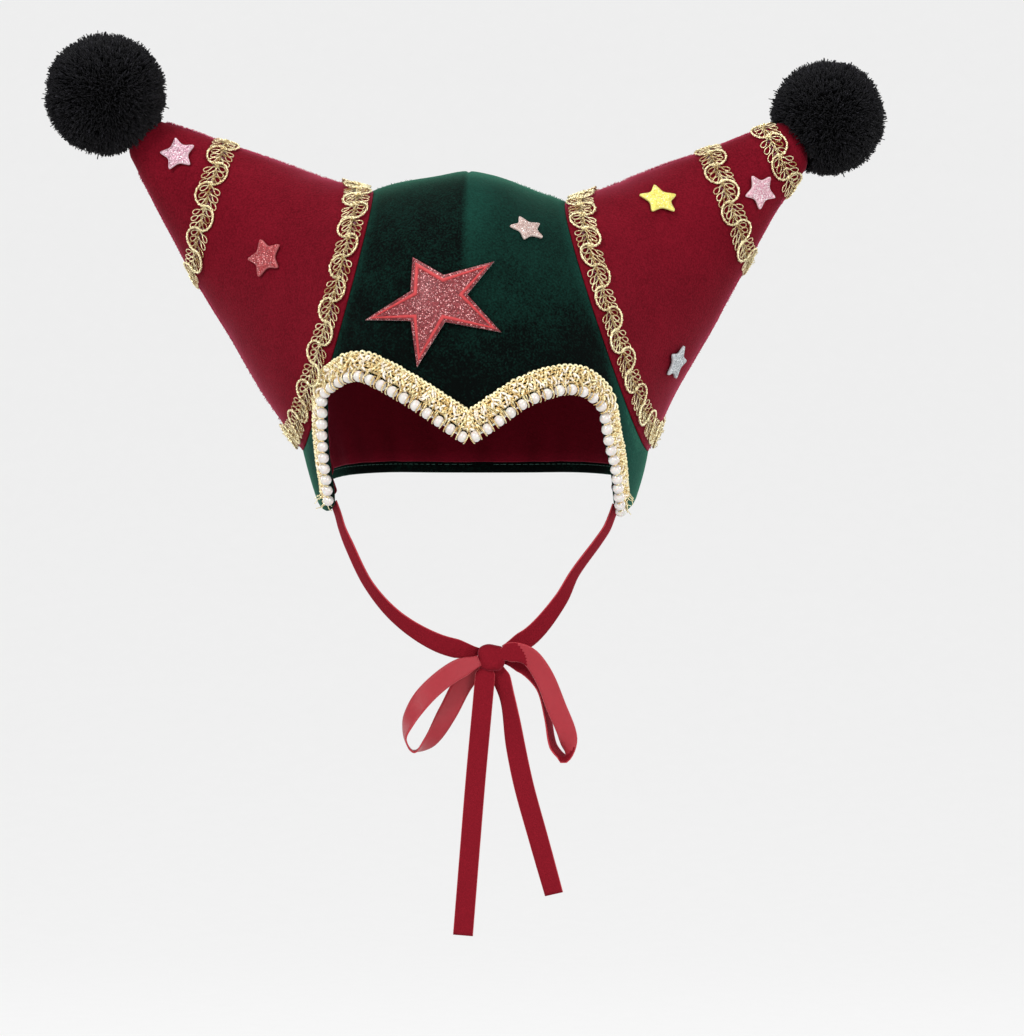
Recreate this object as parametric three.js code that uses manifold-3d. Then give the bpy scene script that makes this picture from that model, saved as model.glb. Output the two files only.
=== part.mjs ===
// Jester hat: a velvet hood with two hollow horns, yarn pompoms, gold braid, pearls, stars and ribbon ties.
// Millimetres, +Z up, the front toward -Y and +X on the right of someone who looks at the front.
// The origin is where the head bears on the inside of the lining, at the top of the crown.
import * as THREE from "three";
import { mergeVertices } from "three/addons/utils/BufferGeometryUtils.js";
import Module from "manifold-3d";

const wasm = await Module();
wasm.setup();

// Cloth and clearances
const velvetWall = 2;
const liningWall = 1;
const pieceGap = 0.3;

// Crown: half sizes outside, at its widest level, and drops from its top
const crownHalfWidth = 85.5;
const crownHalfDepth = 106;
const crownHeight = 163;
const crownShoulderDrop = 100;
const planRoundness = 2.3;
const profileRoundness = 2.8;
const crownTop = liningWall + pieceGap + velvetWall;
const flapSway = 3.3;
const flapPull = 0.155;
const napePull = 0.05;
const seamRidgeHeight = 2.2;
const seamRidgeWidth = 11;
// The right shoulder slumps: where it starts and is full, as shares of crownHalfWidth,
// and where it has gone further down, as a share of crownShoulderDrop
const shoulderSlump = 5;
const slumpStart = 0.12;
const slumpFull = 0.45;
const slumpEnd = 0.8;
const ridgeFadeStart = 0.1;
const ridgeFadeEnd = 0.85;
const crownRows = 5;

// The crown's rim from the forehead point (first row) to the nape (last row), on the left and right.
// turn: degrees from the front, drop: share of crownHeight
const rimStations = [
  { turnLeft: 0, dropLeft: 0.763, turnRight: 0, dropRight: 0.763 },
  { turnLeft: 6, dropLeft: 0.716, turnRight: 7, dropRight: 0.71 },
  { turnLeft: 12.5, dropLeft: 0.67, turnRight: 14, dropRight: 0.662 },
  { turnLeft: 18.2, dropLeft: 0.637, turnRight: 21, dropRight: 0.637 },
  { turnLeft: 24, dropLeft: 0.609, turnRight: 27, dropRight: 0.625 },
  { turnLeft: 30, dropLeft: 0.588, turnRight: 33, dropRight: 0.629 },
  { turnLeft: 35.3, dropLeft: 0.589, turnRight: 37.5, dropRight: 0.647 },
  { turnLeft: 40.3, dropLeft: 0.604, turnRight: 42, dropRight: 0.679 },
  { turnLeft: 48.3, dropLeft: 0.64, turnRight: 43.9, dropRight: 0.722 },
  { turnLeft: 50, dropLeft: 0.698, turnRight: 46.2, dropRight: 0.776 },
  { turnLeft: 52.1, dropLeft: 0.778, turnRight: 50.4, dropRight: 0.833 },
  { turnLeft: 54.1, dropLeft: 0.855, turnRight: 55.1, dropRight: 0.895 },
  { turnLeft: 56.5, dropLeft: 0.92, turnRight: 59.3, dropRight: 0.94 },
  { turnLeft: 60.5, dropLeft: 0.958, turnRight: 63.8, dropRight: 0.968 },
  { turnLeft: 69, dropLeft: 0.972, turnRight: 71.5, dropRight: 0.976 },
  { turnLeft: 80.5, dropLeft: 0.952, turnRight: 81.5, dropRight: 0.954 },
  { turnLeft: 96, dropLeft: 0.915, turnRight: 96, dropRight: 0.915 },
  { turnLeft: 108, dropLeft: 0.885, turnRight: 108, dropRight: 0.885 },
  { turnLeft: 122, dropLeft: 0.865, turnRight: 122, dropRight: 0.865 },
  { turnLeft: 136, dropLeft: 0.855, turnRight: 136, dropRight: 0.855 },
  { turnLeft: 150, dropLeft: 0.85, turnRight: 150, dropRight: 0.85 },
  { turnLeft: 165, dropLeft: 0.85, turnRight: 165, dropRight: 0.85 },
  { turnLeft: 180, dropLeft: 0.85, turnRight: 180, dropRight: 0.85 },
];
const flapTipStation = 13;

// Lining: its edge stands back from the rim by the turned hem and is gathered
const hemWidth = 5;
const gatherDepth = 1.2;
const liningLeastRow = 0.1;

// Horns: the seam planes that they stand on, and sections from the seam to the tip.
// topOut and bottomOut: shares of hornSpan, topUp and bottomUp: shares of hornHeight,
// halfDepth: share of the seam's half depth
const hornSpan = 165;
const hornHeight = 160;
const hornSides = 24;
const seamWallShare = 0.7;
const hornCrease = 1.2;
const hornRings = [0, 0.22, 0.45, 0.66, 0.78, 0.9, 1];
const hornCapLength = 6;
const capShoulderInset = 0.35;
const capShoulderRise = 0.7;
const crossSectionBlend = 1.4;
const seamTopOut = 48;
const seamBottomDrop = 128;
const leftHorn = {
  side: -1,
  seamBottomOut: 80.5,
  turn: 6.6,
  sections: [
    { along: 0.25, topOut: 0.424, topUp: 0.022, bottomOut: 0.6, bottomUp: -0.616, halfDepth: 0.75 },
    { along: 0.5, topOut: 0.57, topUp: 0.079, bottomOut: 0.697, bottomUp: -0.447, halfDepth: 0.51 },
    { along: 0.72, topOut: 0.709, topUp: 0.128, bottomOut: 0.803, bottomUp: -0.268, halfDepth: 0.32 },
    { along: 0.88, topOut: 0.812, topUp: 0.169, bottomOut: 0.894, bottomUp: -0.092, halfDepth: 0.2 },
    { along: 1, topOut: 0.909, topUp: 0.2, bottomOut: 0.988, bottomUp: 0.09, halfDepth: 0.125 },
  ],
};
const rightHorn = {
  side: 1,
  seamBottomOut: 85.5,
  turn: 4.8,
  sections: [
    { along: 0.25, topOut: 0.424, topUp: 0.003, bottomOut: 0.59, bottomUp: -0.622, halfDepth: 0.75 },
    { along: 0.5, topOut: 0.564, topUp: 0.063, bottomOut: 0.694, bottomUp: -0.438, halfDepth: 0.51 },
    { along: 0.72, topOut: 0.691, topUp: 0.106, bottomOut: 0.804, bottomUp: -0.228, halfDepth: 0.32 },
    { along: 0.88, topOut: 0.806, topUp: 0.154, bottomOut: 0.891, bottomUp: -0.065, halfDepth: 0.2 },
    { along: 1, topOut: 0.891, topUp: 0.187, bottomOut: 0.973, bottomUp: 0.05, halfDepth: 0.125 },
  ],
};

// Gold scroll braid round the horns
const braidWidth = 13.5;
const braidWall = 1.1;
const braidScallop = 1.2;
const braidSeamDistance = 9;
const braidMiddle = 0.72;
const braidTip = 0.94;

// Pompoms: centres across (share of hornSpan) and up (share of hornHeight), with locks on a core
const pompomDetail = 5;
const pompomCoreShare = 0.84;
const lockSpacing = 0.27;
const lockUnevenness = 0.05;
const leftPompom = { across: -1.055, forward: 8, up: 0.274, radius: 29 };
const rightPompom = { across: 1.04, forward: -8, up: 0.208, radius: 27.5 };

// Gold braid along the face edge, and the string of pearls just outside the edge
const faceBraidWidth = 9;
const faceBraidWall = 1.2;
const faceBraidInset = 1;
const faceBraidStep = 0.5;
const pearlRadius = 2.6;
const pearlBeyondShare = 0.8;
const pearlOutsetShare = 0.98;
const pearlSides = 10;
const pearlPathSteps = 40;
// along: share of pearlRadius from the pearl's middle, radius: share of pearlRadius
const pearlRings = [
  { along: -0.98, radius: 0.2 },
  { along: -0.52, radius: 0.86 },
  { along: 0.52, radius: 0.86 },
];
const pearlPitchFront = 6.4;
const pearlPitchFlap = 5.3;
const pearlCornerStation = 7;

// Stars: reach is from the centre to the longest tip
const starWall = 1.2;
const largeStarRings = [0.35, 0.7, 1];
const smallStarStandoff = 0.8;
const largeStarStandoff = 1.2;
const smallStarReach = 9.2;
const smallStarWaist = 0.5;
const largeStarReach = 34.4;
// turn: degrees from +X, reach: share of largeStarReach, a tip and an inner corner by turns
const largeStarCorners = [
  { turn: 37, reach: 0.92 },
  { turn: 79, reach: 0.38 },
  { turn: 119, reach: 0.71 },
  { turn: 156, reach: 0.4 },
  { turn: 192, reach: 1 },
  { turn: 213, reach: 0.43 },
  { turn: 252, reach: 0.89 },
  { turn: 291, reach: 0.27 },
  { turn: 335, reach: 0.92 },
  { turn: 376, reach: 0.4 },
];
// across: share of crownHalfWidth on the crown and of hornSpan on a horn, up: share of hornHeight
const largeStarPlace = { across: -0.13, up: -0.386 };
const smallStars = [
  { name: "star_champagne", on: "crown", across: 0.331, up: -0.172, spin: 8, colour: 0xb99f96 },
  { name: "star_pink_left", on: "left", across: -0.84, up: 0.088, spin: 12, colour: 0xc98a9c },
  { name: "star_red_left", on: "left", across: -0.567, up: -0.233, spin: 20, colour: 0xa93440 },
  { name: "star_yellow", on: "right", across: 0.543, up: -0.064, spin: 2, colour: 0xdcc944 },
  { name: "star_pink_right", on: "right", across: 0.834, up: -0.024, spin: 36, colour: 0xc98a9c },
  { name: "star_silver", on: "right", across: 0.59, up: -0.534, spin: -8, colour: 0x9fa4a8 },
];

// Ribbons: width, thickness, and the points that each one follows, chosen by hand.
// roll: 0 shows the ribbon's face to the front, 90 shows its edge
const ribbonWidth = 9.3;
const ribbonWall = 0.9;
const ribbonStepLength = 7;
const ribbonRoutes = {
  strap_left: [
    { x: -62, y: -49.4, z: -151.6, roll: 68 },
    { x: -60.1, y: -50, z: -156.6, roll: 68 },
    { x: -58, y: -50.8, z: -163.6, roll: 66 },
    { x: -54.7, y: -51.8, z: -171.4, roll: 60 },
    { x: -45.3, y: -53.5, z: -190.1, roll: 58 },
    { x: -31.8, y: -55.5, z: -205.3, roll: 45 },
    { x: -13, y: -57, z: -216.8, roll: 20 },
    { x: 5.6, y: -58, z: -221.5, roll: 0 },
  ],
  strap_right: [
    { x: 69.5, y: -44.9, z: -152.8, roll: -70 },
    { x: 67.7, y: -45.2, z: -157.8, roll: -70 },
    { x: 65.3, y: -46, z: -163.6, roll: -68 },
    { x: 61.4, y: -47.2, z: -169.5, roll: -66 },
    { x: 50.5, y: -50, z: -184.4, roll: -62 },
    { x: 43.7, y: -53, z: -197, roll: -45 },
    { x: 30, y: -56, z: -213.5, roll: -20 },
    { x: 17.8, y: -58, z: -220.2, roll: 0 },
  ],
  loop_left: [
    { x: 6.5, y: -66.2, z: -224.5, roll: 0 },
    { x: -6.2, y: -67.5, z: -230.2, roll: 4 },
    { x: -19.1, y: -68.5, z: -241.3, roll: 15 },
    { x: -26.5, y: -67.5, z: -252.9, roll: 50 },
    { x: -28.1, y: -65, z: -260, roll: 82 },
    { x: -24.5, y: -61.5, z: -266.5, roll: 88 },
    { x: -17, y: -59.5, z: -262.5, roll: 50 },
    { x: -8.4, y: -59, z: -248.8, roll: 12 },
    { x: -1.8, y: -59.4, z: -236.2, roll: 2 },
    { x: 5.6, y: -60, z: -226.4, roll: 0 },
  ],
  loop_right: [
    { x: 16, y: -66.2, z: -222.1, roll: 0 },
    { x: 22, y: -67, z: -220.6, roll: 10 },
    { x: 29, y: -68, z: -222.4, roll: 20 },
    { x: 35.5, y: -68.5, z: -230.5, roll: 14 },
    { x: 42, y: -68, z: -246, roll: 6 },
    { x: 47.3, y: -66.5, z: -260.4, roll: 20 },
    { x: 46, y: -63, z: -269.5, roll: 75 },
    { x: 40.8, y: -60, z: -265, roll: 70 },
    { x: 38, y: -59, z: -251.6, roll: 72 },
    { x: 34.8, y: -59, z: -237, roll: 60 },
    { x: 27.5, y: -59.5, z: -227, roll: 20 },
    { x: 18.6, y: -60, z: -224, roll: 0 },
  ],
  tail_left: [
    { x: 9.4, y: -64, z: -227, roll: 0 },
    { x: 8, y: -64.6, z: -243, roll: 4 },
    { x: 4.7, y: -64, z: -278.6, roll: -3 },
    { x: 1.9, y: -63, z: -312.4, roll: 3 },
    { x: -1.3, y: -62, z: -351.9, roll: 0 },
  ],
  tail_right: [
    { x: 14.4, y: -62, z: -227, roll: 0 },
    { x: 19.5, y: -61.5, z: -243.1, roll: 38 },
    { x: 23.2, y: -61, z: -265.3, roll: 10 },
    { x: 26.9, y: -60.5, z: -282.9, roll: 0 },
    { x: 33.4, y: -59.5, z: -306.6, roll: 6 },
    { x: 40.8, y: -58.5, z: -333.1, roll: 20 },
  ],
};
const knotCentre = { x: 11.8, y: -62, z: -223.4 };
const knotHalfWidth = 7;
const knotHalfDepth = 6;
const knotHalfHeight = 6.2;
const knotWaist = 0.12;
const knotSides = 12;
const knotRings = 6;

const colours = {
  green: 0x0b2e24,
  burgundy: 0x7a0f20,
  lining: 0x6a0c1c,
  yarn: 0x111114,
  gold: 0xc9a24a,
  pearl: 0xe9e4da,
  starRed: 0xb8424a,
  ribbon: 0x8c1e2d,
};

function toRadians(degrees) {
  return (degrees * Math.PI) / 180;
}

function softStep(value) {
  const held = Math.min(Math.max(value, 0), 1);
  return held * held * (3 - 2 * held);
}

// Cosine or sine bent toward a rounded square by the plan's roundness
function rounded(value, roundness) {
  return Math.sign(value) * Math.abs(value) ** (2 / roundness);
}

// A deterministic number from 0 to 1 for each count
function scatter(count) {
  const value = Math.sin(count * 12.9898 + 4.1) * 43758.5453;
  return value - Math.floor(value);
}

// Closed meshes: points and faces, turned inside out if they enclose a negative volume
function closedGeometry(points, faces) {
  let volume = 0;
  for (const [a, b, c] of faces) {
    volume += points[a].dot(points[b].clone().cross(points[c]));
  }
  const index = [];
  for (const [a, b, c] of faces) {
    index.push(a, volume < 0 ? c : b, volume < 0 ? b : c);
  }
  const geometry = new THREE.BufferGeometry();
  const coordinates = new Float32Array(points.flatMap((point) => point.toArray()));
  geometry.setAttribute("position", new THREE.BufferAttribute(coordinates, 3));
  geometry.setIndex(index);
  geometry.computeVertexNormals();
  return geometry;
}

// A wall between two skins, each a pole and rings that run from the pole to the open edge
function shellGeometry(outerPole, outerRings, innerPole, innerRings) {
  const points = [outerPole, ...outerRings.flat(), innerPole, ...innerRings.flat()];
  const faces = [];
  const around = outerRings[0].length;
  const skins = [
    { pole: 0, rings: outerRings.length, out: true },
    { pole: 1 + outerRings.length * around, rings: innerRings.length, out: false },
  ];
  const at = (skin, ring, column) => skin.pole + 1 + ring * around + (column % around);
  const add = (skin, a, b, c) => faces.push(skin.out ? [a, b, c] : [a, c, b]);
  for (const skin of skins) {
    for (let column = 0; column < around; column++) {
      add(skin, skin.pole, at(skin, 0, column), at(skin, 0, column + 1));
      for (let ring = 0; ring + 1 < skin.rings; ring++) {
        const [a, b] = [at(skin, ring, column), at(skin, ring, column + 1)];
        const [c, d] = [at(skin, ring + 1, column + 1), at(skin, ring + 1, column)];
        add(skin, a, d, c);
        add(skin, a, c, b);
      }
    }
  }
  const [outer, inner] = skins;
  for (let column = 0; column < around; column++) {
    const [a, b] = [at(outer, outer.rings - 1, column), at(outer, outer.rings - 1, column + 1)];
    const [c, d] = [at(inner, inner.rings - 1, column + 1), at(inner, inner.rings - 1, column)];
    faces.push([a, d, c], [a, c, b]);
  }
  return closedGeometry(points, faces);
}

// A solid through sections with the same number of corners, closed on itself or with flat ends
function loftGeometry(sections, closed) {
  const corners = sections[0].length;
  const points = sections.flat();
  const faces = [];
  const steps = closed ? sections.length : sections.length - 1;
  const at = (step, corner) => (step % sections.length) * corners + (corner % corners);
  for (let step = 0; step < steps; step++) {
    for (let corner = 0; corner < corners; corner++) {
      faces.push([at(step, corner), at(step + 1, corner), at(step + 1, corner + 1)]);
      faces.push([at(step, corner), at(step + 1, corner + 1), at(step, corner + 1)]);
    }
  }
  if (!closed) {
    const last = sections.length - 1;
    for (let corner = 1; corner + 1 < corners; corner++) {
      faces.push([at(0, 0), at(0, corner), at(0, corner + 1)]);
      faces.push([at(last, 0), at(last, corner + 1), at(last, corner)]);
    }
  }
  return closedGeometry(points, faces);
}

function toSolid(geometry) {
  const bare = geometry.clone();
  bare.deleteAttribute("normal");
  bare.deleteAttribute("uv");
  const merged = mergeVertices(bare, 1e-4);
  const mesh = new wasm.Mesh({
    numProp: 3,
    vertProperties: new Float32Array(merged.attributes.position.array),
    triVerts: new Uint32Array(merged.index.array),
  });
  return new wasm.Manifold(mesh);
}

function fromSolid(solid) {
  const mesh = solid.getMesh();
  const geometry = new THREE.BufferGeometry();
  geometry.setAttribute("position", new THREE.BufferAttribute(new Float32Array(mesh.vertProperties), 3));
  geometry.setIndex(Array.from(mesh.triVerts));
  geometry.computeVertexNormals();
  return geometry;
}

// Crown surface: level 0 at the top, 1 at the widest level and 2 at the flaps' tips
function levelShape(level) {
  if (level <= 1) {
    const turn = (level * Math.PI) / 2;
    return {
      wide: rounded(Math.sin(turn), profileRoundness),
      deep: rounded(Math.sin(turn), profileRoundness),
      drop: crownShoulderDrop * (1 - rounded(Math.cos(turn), profileRoundness)),
    };
  }
  const below = level - 1;
  return {
    wide: 1 - flapPull * below ** 2,
    deep: 1 - napePull * below ** 2,
    drop: crownShoulderDrop + below * (crownHeight - crownShoulderDrop),
  };
}

function levelAtDrop(drop) {
  if (drop >= crownShoulderDrop) {
    return 1 + (drop - crownShoulderDrop) / (crownHeight - crownShoulderDrop);
  }
  const rise = Math.max(1 - drop / crownShoulderDrop, 0);
  return Math.acos(Math.min(rise ** (profileRoundness / 2), 1)) / (Math.PI / 2);
}

function swayAt(drop) {
  return flapSway * softStep(drop / crownHeight);
}

function slumpAt(across, drop) {
  const share = (across / crownHalfWidth - slumpStart) / (slumpFull - slumpStart);
  return shoulderSlump * softStep(share) * (1 - softStep(drop / (crownShoulderDrop * slumpEnd)));
}

// The drop that a place had before the shoulder slumped
function dropBeforeSlump(across, height) {
  let drop = crownTop - height;
  for (let pass = 0; pass < 8; pass++) {
    drop = crownTop - height - slumpAt(across, drop);
  }
  return drop;
}

function crownBase(turn, level) {
  const shape = levelShape(level);
  const across = swayAt(shape.drop) + crownHalfWidth * shape.wide * rounded(Math.sin(turn), planRoundness);
  return new THREE.Vector3(
    across,
    -crownHalfDepth * shape.deep * rounded(Math.cos(turn), planRoundness),
    crownTop - shape.drop - slumpAt(across, shape.drop),
  );
}

function crownNormal(turn, level) {
  const step = 0.004;
  if (level < step) {
    return new THREE.Vector3(0, 0, 1);
  }
  const across = crownBase(turn + step, level).sub(crownBase(turn - step, level));
  const down = crownBase(turn, level + step).sub(crownBase(turn, level - step));
  return across.cross(down).normalize().negate();
}

function crownPoint(turn, level, outset, ridged = true) {
  const point = crownBase(turn, level);
  const front = 1 - softStep((level - ridgeFadeStart) / (ridgeFadeEnd - ridgeFadeStart));
  const ridge = ridged ? seamRidgeHeight * front * Math.exp(-((point.x / seamRidgeWidth) ** 2)) : 0;
  return point.addScaledVector(crownNormal(turn, level), outset + ridge);
}

// The rim at a station between 0 and the last one, on the left (-1) or right (1)
function rimAt(station, side) {
  const last = rimStations.length - 1;
  const first = Math.min(Math.floor(station), last - 1);
  const share = station - first;
  const row = (offset) => rimStations[Math.min(Math.max(first + offset, 0), last)];
  const turnName = side < 0 ? "turnLeft" : "turnRight";
  const dropName = side < 0 ? "dropLeft" : "dropRight";
  const smooth = (name) => {
    const [a, b, c, d] = [row(-1)[name], row(0)[name], row(1)[name], row(2)[name]];
    const bend = 2 * a - 5 * b + 4 * c - d;
    return b + 0.5 * share * (c - a + share * (bend + share * (3 * (b - c) + d - a)));
  };
  return { turn: side * toRadians(smooth(turnName)), drop: smooth(dropName) * crownHeight };
}

// The place in the crown's surface that lies inset millimetres in from the rim
function rimInset(station, side, inset) {
  const last = rimStations.length - 1;
  const here = rimAt(station, side);
  const step = 0.05;
  const before = rimAt(Math.max(station - step, 0), side);
  const after = rimAt(Math.min(station + step, last), side);
  const surface = (turn, drop) => crownBase(turn, levelAtDrop(drop));
  const [smallTurn, smallDrop] = [0.002, 0.2];
  const across = surface(here.turn + smallTurn, here.drop).sub(surface(here.turn - smallTurn, here.drop));
  const down = surface(here.turn, here.drop + smallDrop).sub(surface(here.turn, here.drop - smallDrop));
  across.divideScalar(2 * smallTurn);
  down.divideScalar(2 * smallDrop);
  const along = across.clone().multiplyScalar(after.turn - before.turn);
  along.addScaledVector(down, after.drop - before.drop).normalize();
  const inward = crownNormal(here.turn, levelAtDrop(here.drop)).cross(along).multiplyScalar(side);
  if (station < step || station > last - step) {
    const stretch = 1 / Math.max(Math.abs(inward.z), 0.5);
    return { turn: here.turn, level: levelAtDrop(here.drop - (inset * stretch) / down.length()) };
  }
  const grid = across.dot(across) * down.dot(down) - across.dot(down) ** 2;
  const turnShift = (inward.dot(across) * down.dot(down) - inward.dot(down) * across.dot(down)) / grid;
  const dropShift = (inward.dot(down) * across.dot(across) - inward.dot(across) * across.dot(down)) / grid;
  const turn = here.turn + turnShift * inset;
  return { turn: side * Math.max(side * turn, 0), level: levelAtDrop(here.drop + dropShift * inset) };
}

// Rim places all the way round, left half and right half, with the middle ones only once
function rimPlaces(inset) {
  const stations = rimStations.map((row, station) => station);
  const places = stations.map((station) => rimInset(station, 1, inset));
  for (const station of stations.slice(1, -1).reverse()) {
    places.push(rimInset(station, -1, inset));
  }
  return places;
}

// Length along the crown's wall from its top to a level, and back again
const capArcShare = 0.85;
const capArc = capArcShare * (crownShoulderDrop + crownHalfWidth);
const skirtArc = crownHeight - crownShoulderDrop;

function arcAtLevel(level) {
  return level <= 1 ? level * capArc : capArc + (level - 1) * skirtArc;
}

function levelAtArc(arc) {
  return arc <= capArc ? arc / capArc : 1 + (arc - capArc) / skirtArc;
}

// Rings from the top to the rim, spaced by their length along the wall
function crownRings(places, outset, ridged) {
  const rings = [];
  for (let row = 1; row <= crownRows; row++) {
    rings.push(places.map((place) => {
      const level = levelAtArc((arcAtLevel(place.level) * row) / crownRows);
      return crownPoint(place.turn, level, outset, ridged);
    }));
  }
  return rings;
}

// The plane of a horn's seam: its middle, its direction up the seam and its direction to the back
function seamPlane(horn) {
  const topDrop = crownDropAt(seamTopOut);
  const topHeight = crownTop - topDrop - slumpAt(horn.side * seamTopOut, topDrop);
  const top = new THREE.Vector3(horn.side * seamTopOut, 0, topHeight);
  const bottom = new THREE.Vector3(horn.side * horn.seamBottomOut, 0, crownTop - seamBottomDrop);
  const up = top.clone().sub(bottom).normalize();
  const turn = toRadians(horn.turn);
  const back = new THREE.Vector3(horn.side * Math.sin(turn), Math.cos(turn), 0);
  const out = up.clone().cross(back).multiplyScalar(-horn.side).normalize();
  return { top, bottom, up, back, out, middle: top.clone().add(bottom).multiplyScalar(0.5) };
}

function crownDropAt(across) {
  const share = Math.min(across / crownHalfWidth, 1);
  return crownShoulderDrop * (1 - (1 - share ** profileRoundness) ** (1 / profileRoundness));
}

function insideCrown(point) {
  const drop = dropBeforeSlump(point.x, point.z);
  if (drop <= 0) {
    return false;
  }
  const shape = levelShape(levelAtDrop(drop));
  const wide = Math.abs(point.x - swayAt(drop)) / (crownHalfWidth * shape.wide);
  const deep = Math.abs(point.y) / (crownHalfDepth * shape.deep);
  return wide ** planRoundness + deep ** planRoundness < 1;
}

// Where the seam's plane meets the crown's outside, as shares of its half length and half depth
function seamRing(horn) {
  const plane = seamPlane(horn);
  const reach = (angle) => {
    let near = 0;
    let far = 2 * crownHalfDepth;
    for (let pass = 0; pass < 40; pass++) {
      const radius = (near + far) / 2;
      const point = plane.middle.clone();
      point.addScaledVector(plane.up, radius * Math.cos(angle));
      point.addScaledVector(plane.back, -radius * Math.sin(angle));
      if (insideCrown(point)) {
        near = radius;
      } else {
        far = radius;
      }
    }
    return near;
  };
  return { plane, reach };
}

// Horn surface: around 0 at the upper edge, a quarter at the front, half at the lower edge;
// along 0 at the seam and 1 at the tip, with straight walls from one ring to the next
function makeHornSurface(horn) {
  const { plane, reach } = seamRing(horn);
  const seamTop = plane.middle.clone().addScaledVector(plane.up, reach(0));
  const seamBottom = plane.middle.clone().addScaledVector(plane.up, -reach(Math.PI));
  const seamHalfDepth = (reach(Math.PI / 2) + reach(-Math.PI / 2)) / 2;
  const edge = (row, out, up) =>
    new THREE.Vector3(horn.side * row[out] * hornSpan, 0, row[up] * hornHeight);
  const rows = [
    { along: 0, top: seamTop, bottom: seamBottom, halfDepth: seamHalfDepth },
    ...horn.sections.map((row) => ({
      along: row.along,
      top: edge(row, "topOut", "topUp"),
      bottom: edge(row, "bottomOut", "bottomUp"),
      halfDepth: row.halfDepth * seamHalfDepth,
    })),
  ];
  const topCurve = new THREE.CatmullRomCurve3(rows.map((row) => row.top));
  const bottomCurve = new THREE.CatmullRomCurve3(rows.map((row) => row.bottom));
  const depthCurve = new THREE.CatmullRomCurve3(rows.map((row) => new THREE.Vector3(row.halfDepth, 0, 0)));
  const curveShare = (along) => {
    const last = rows.length - 1;
    let first = 0;
    while (first < last - 1 && rows[first + 1].along < along) {
      first++;
    }
    const span = rows[first + 1].along - rows[first].along;
    return Math.min((first + (along - rows[first].along) / span) / last, 1);
  };
  const ringPoint = (around, along, outset) => {
    const share = curveShare(along);
    const top = topCurve.getPoint(share);
    const bottom = bottomCurve.getPoint(share);
    const halfDepth = depthCurve.getPoint(share).x;
    const angle = 2 * Math.PI * around;
    const up = top.clone().sub(bottom).normalize();
    const halfLength = top.distanceTo(bottom) / 2;
    const back = plane.back.clone().lerp(new THREE.Vector3(0, 1, 0), softStep(along)).normalize();
    const seamRadius = reach(angle);
    const seamLength = reach(0) + reach(Math.PI);
    const seamUp = (2 * seamRadius * Math.cos(angle) + (reach(Math.PI) - reach(0))) / seamLength;
    const seamOut = (seamRadius * Math.sin(angle)) / seamHalfDepth;
    const tipUp = Math.cos(angle);
    const tipOut = Math.sign(Math.sin(angle)) * Math.abs(Math.sin(angle)) ** hornCrease;
    const blend = softStep(along * crossSectionBlend);
    const upShare = seamUp + (tipUp - seamUp) * blend;
    const outShare = seamOut + (tipOut - seamOut) * blend;
    const place = top.clone().add(bottom).multiplyScalar(0.5);
    place.addScaledVector(up, halfLength * upShare);
    place.addScaledVector(back, -halfDepth * outShare);
    if (outset !== 0) {
      const away = new THREE.Vector3();
      away.addScaledVector(up, upShare / Math.max(halfLength, 1));
      away.addScaledVector(back, -outShare / Math.max(halfDepth, 1));
      place.addScaledVector(away.normalize(), outset);
    }
    return place;
  };
  const point = (around, along, outset = 0) => {
    let first = 0;
    while (first < hornRings.length - 2 && hornRings[first + 1] < along) {
      first++;
    }
    const share = (along - hornRings[first]) / (hornRings[first + 1] - hornRings[first]);
    const from = ringPoint(around, hornRings[first], outset);
    return from.lerp(ringPoint(around, hornRings[first + 1], outset), share);
  };
  const beforeTip = hornRings[hornRings.length - 2];
  const tipSum = point(0, 1).add(point(0.5, 1));
  const axis = tipSum.sub(point(0, beforeTip)).sub(point(0.5, beforeTip)).normalize();
  const tip = point(0, 1).add(point(0.5, 1)).multiplyScalar(0.5);
  return { point, plane, axis, tip, side: horn.side };
}

// The horn's skin from the tip's pole down to the seam, moved in or out by outset
function hornSkin(surface, alongs, outset, capLength) {
  const ringAt = (along) => {
    const seamShare = outset < 0 && along === 0 ? seamWallShare : 1;
    const ring = [];
    for (let step = 0; step < hornSides; step++) {
      ring.push(surface.point(step / hornSides, along, outset * seamShare));
    }
    return ring;
  };
  const pole = surface.tip.clone().addScaledVector(surface.axis, capLength);
  const shoulder = ringAt(1).map((corner) => {
    corner.lerp(surface.tip, capShoulderInset);
    return corner.addScaledVector(surface.axis, capLength * capShoulderRise);
  });
  return { pole, rings: [shoulder, ...alongs.map(ringAt)] };
}

function makeHorn(surface) {
  const alongs = hornRings.toReversed();
  const outer = hornSkin(surface, alongs, 0, hornCapLength);
  const inner = hornSkin(surface, alongs, -velvetWall, hornCapLength - velvetWall);
  const shift = surface.plane.out.clone().multiplyScalar(pieceGap / 2);
  for (const skin of [outer, inner]) {
    for (const corner of skin.rings[skin.rings.length - 1]) {
      corner.add(shift);
    }
  }
  return shellGeometry(outer.pole, outer.rings, inner.pole, inner.rings);
}

// The crown, open under the horns
function makeCrown(planes) {
  const places = rimPlaces(0);
  const outerRings = crownRings(places, 0, true);
  const innerRings = crownRings(places, -velvetWall, true);
  const top = crownPoint(0, 0, 0);
  const under = crownPoint(0, 0, -velvetWall);
  let solid = toSolid(shellGeometry(top, outerRings, under, innerRings));
  for (const plane of planes) {
    solid = solid.subtract(seamCutter(plane, pieceGap / 2));
  }
  return fromSolid(solid);
}

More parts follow.
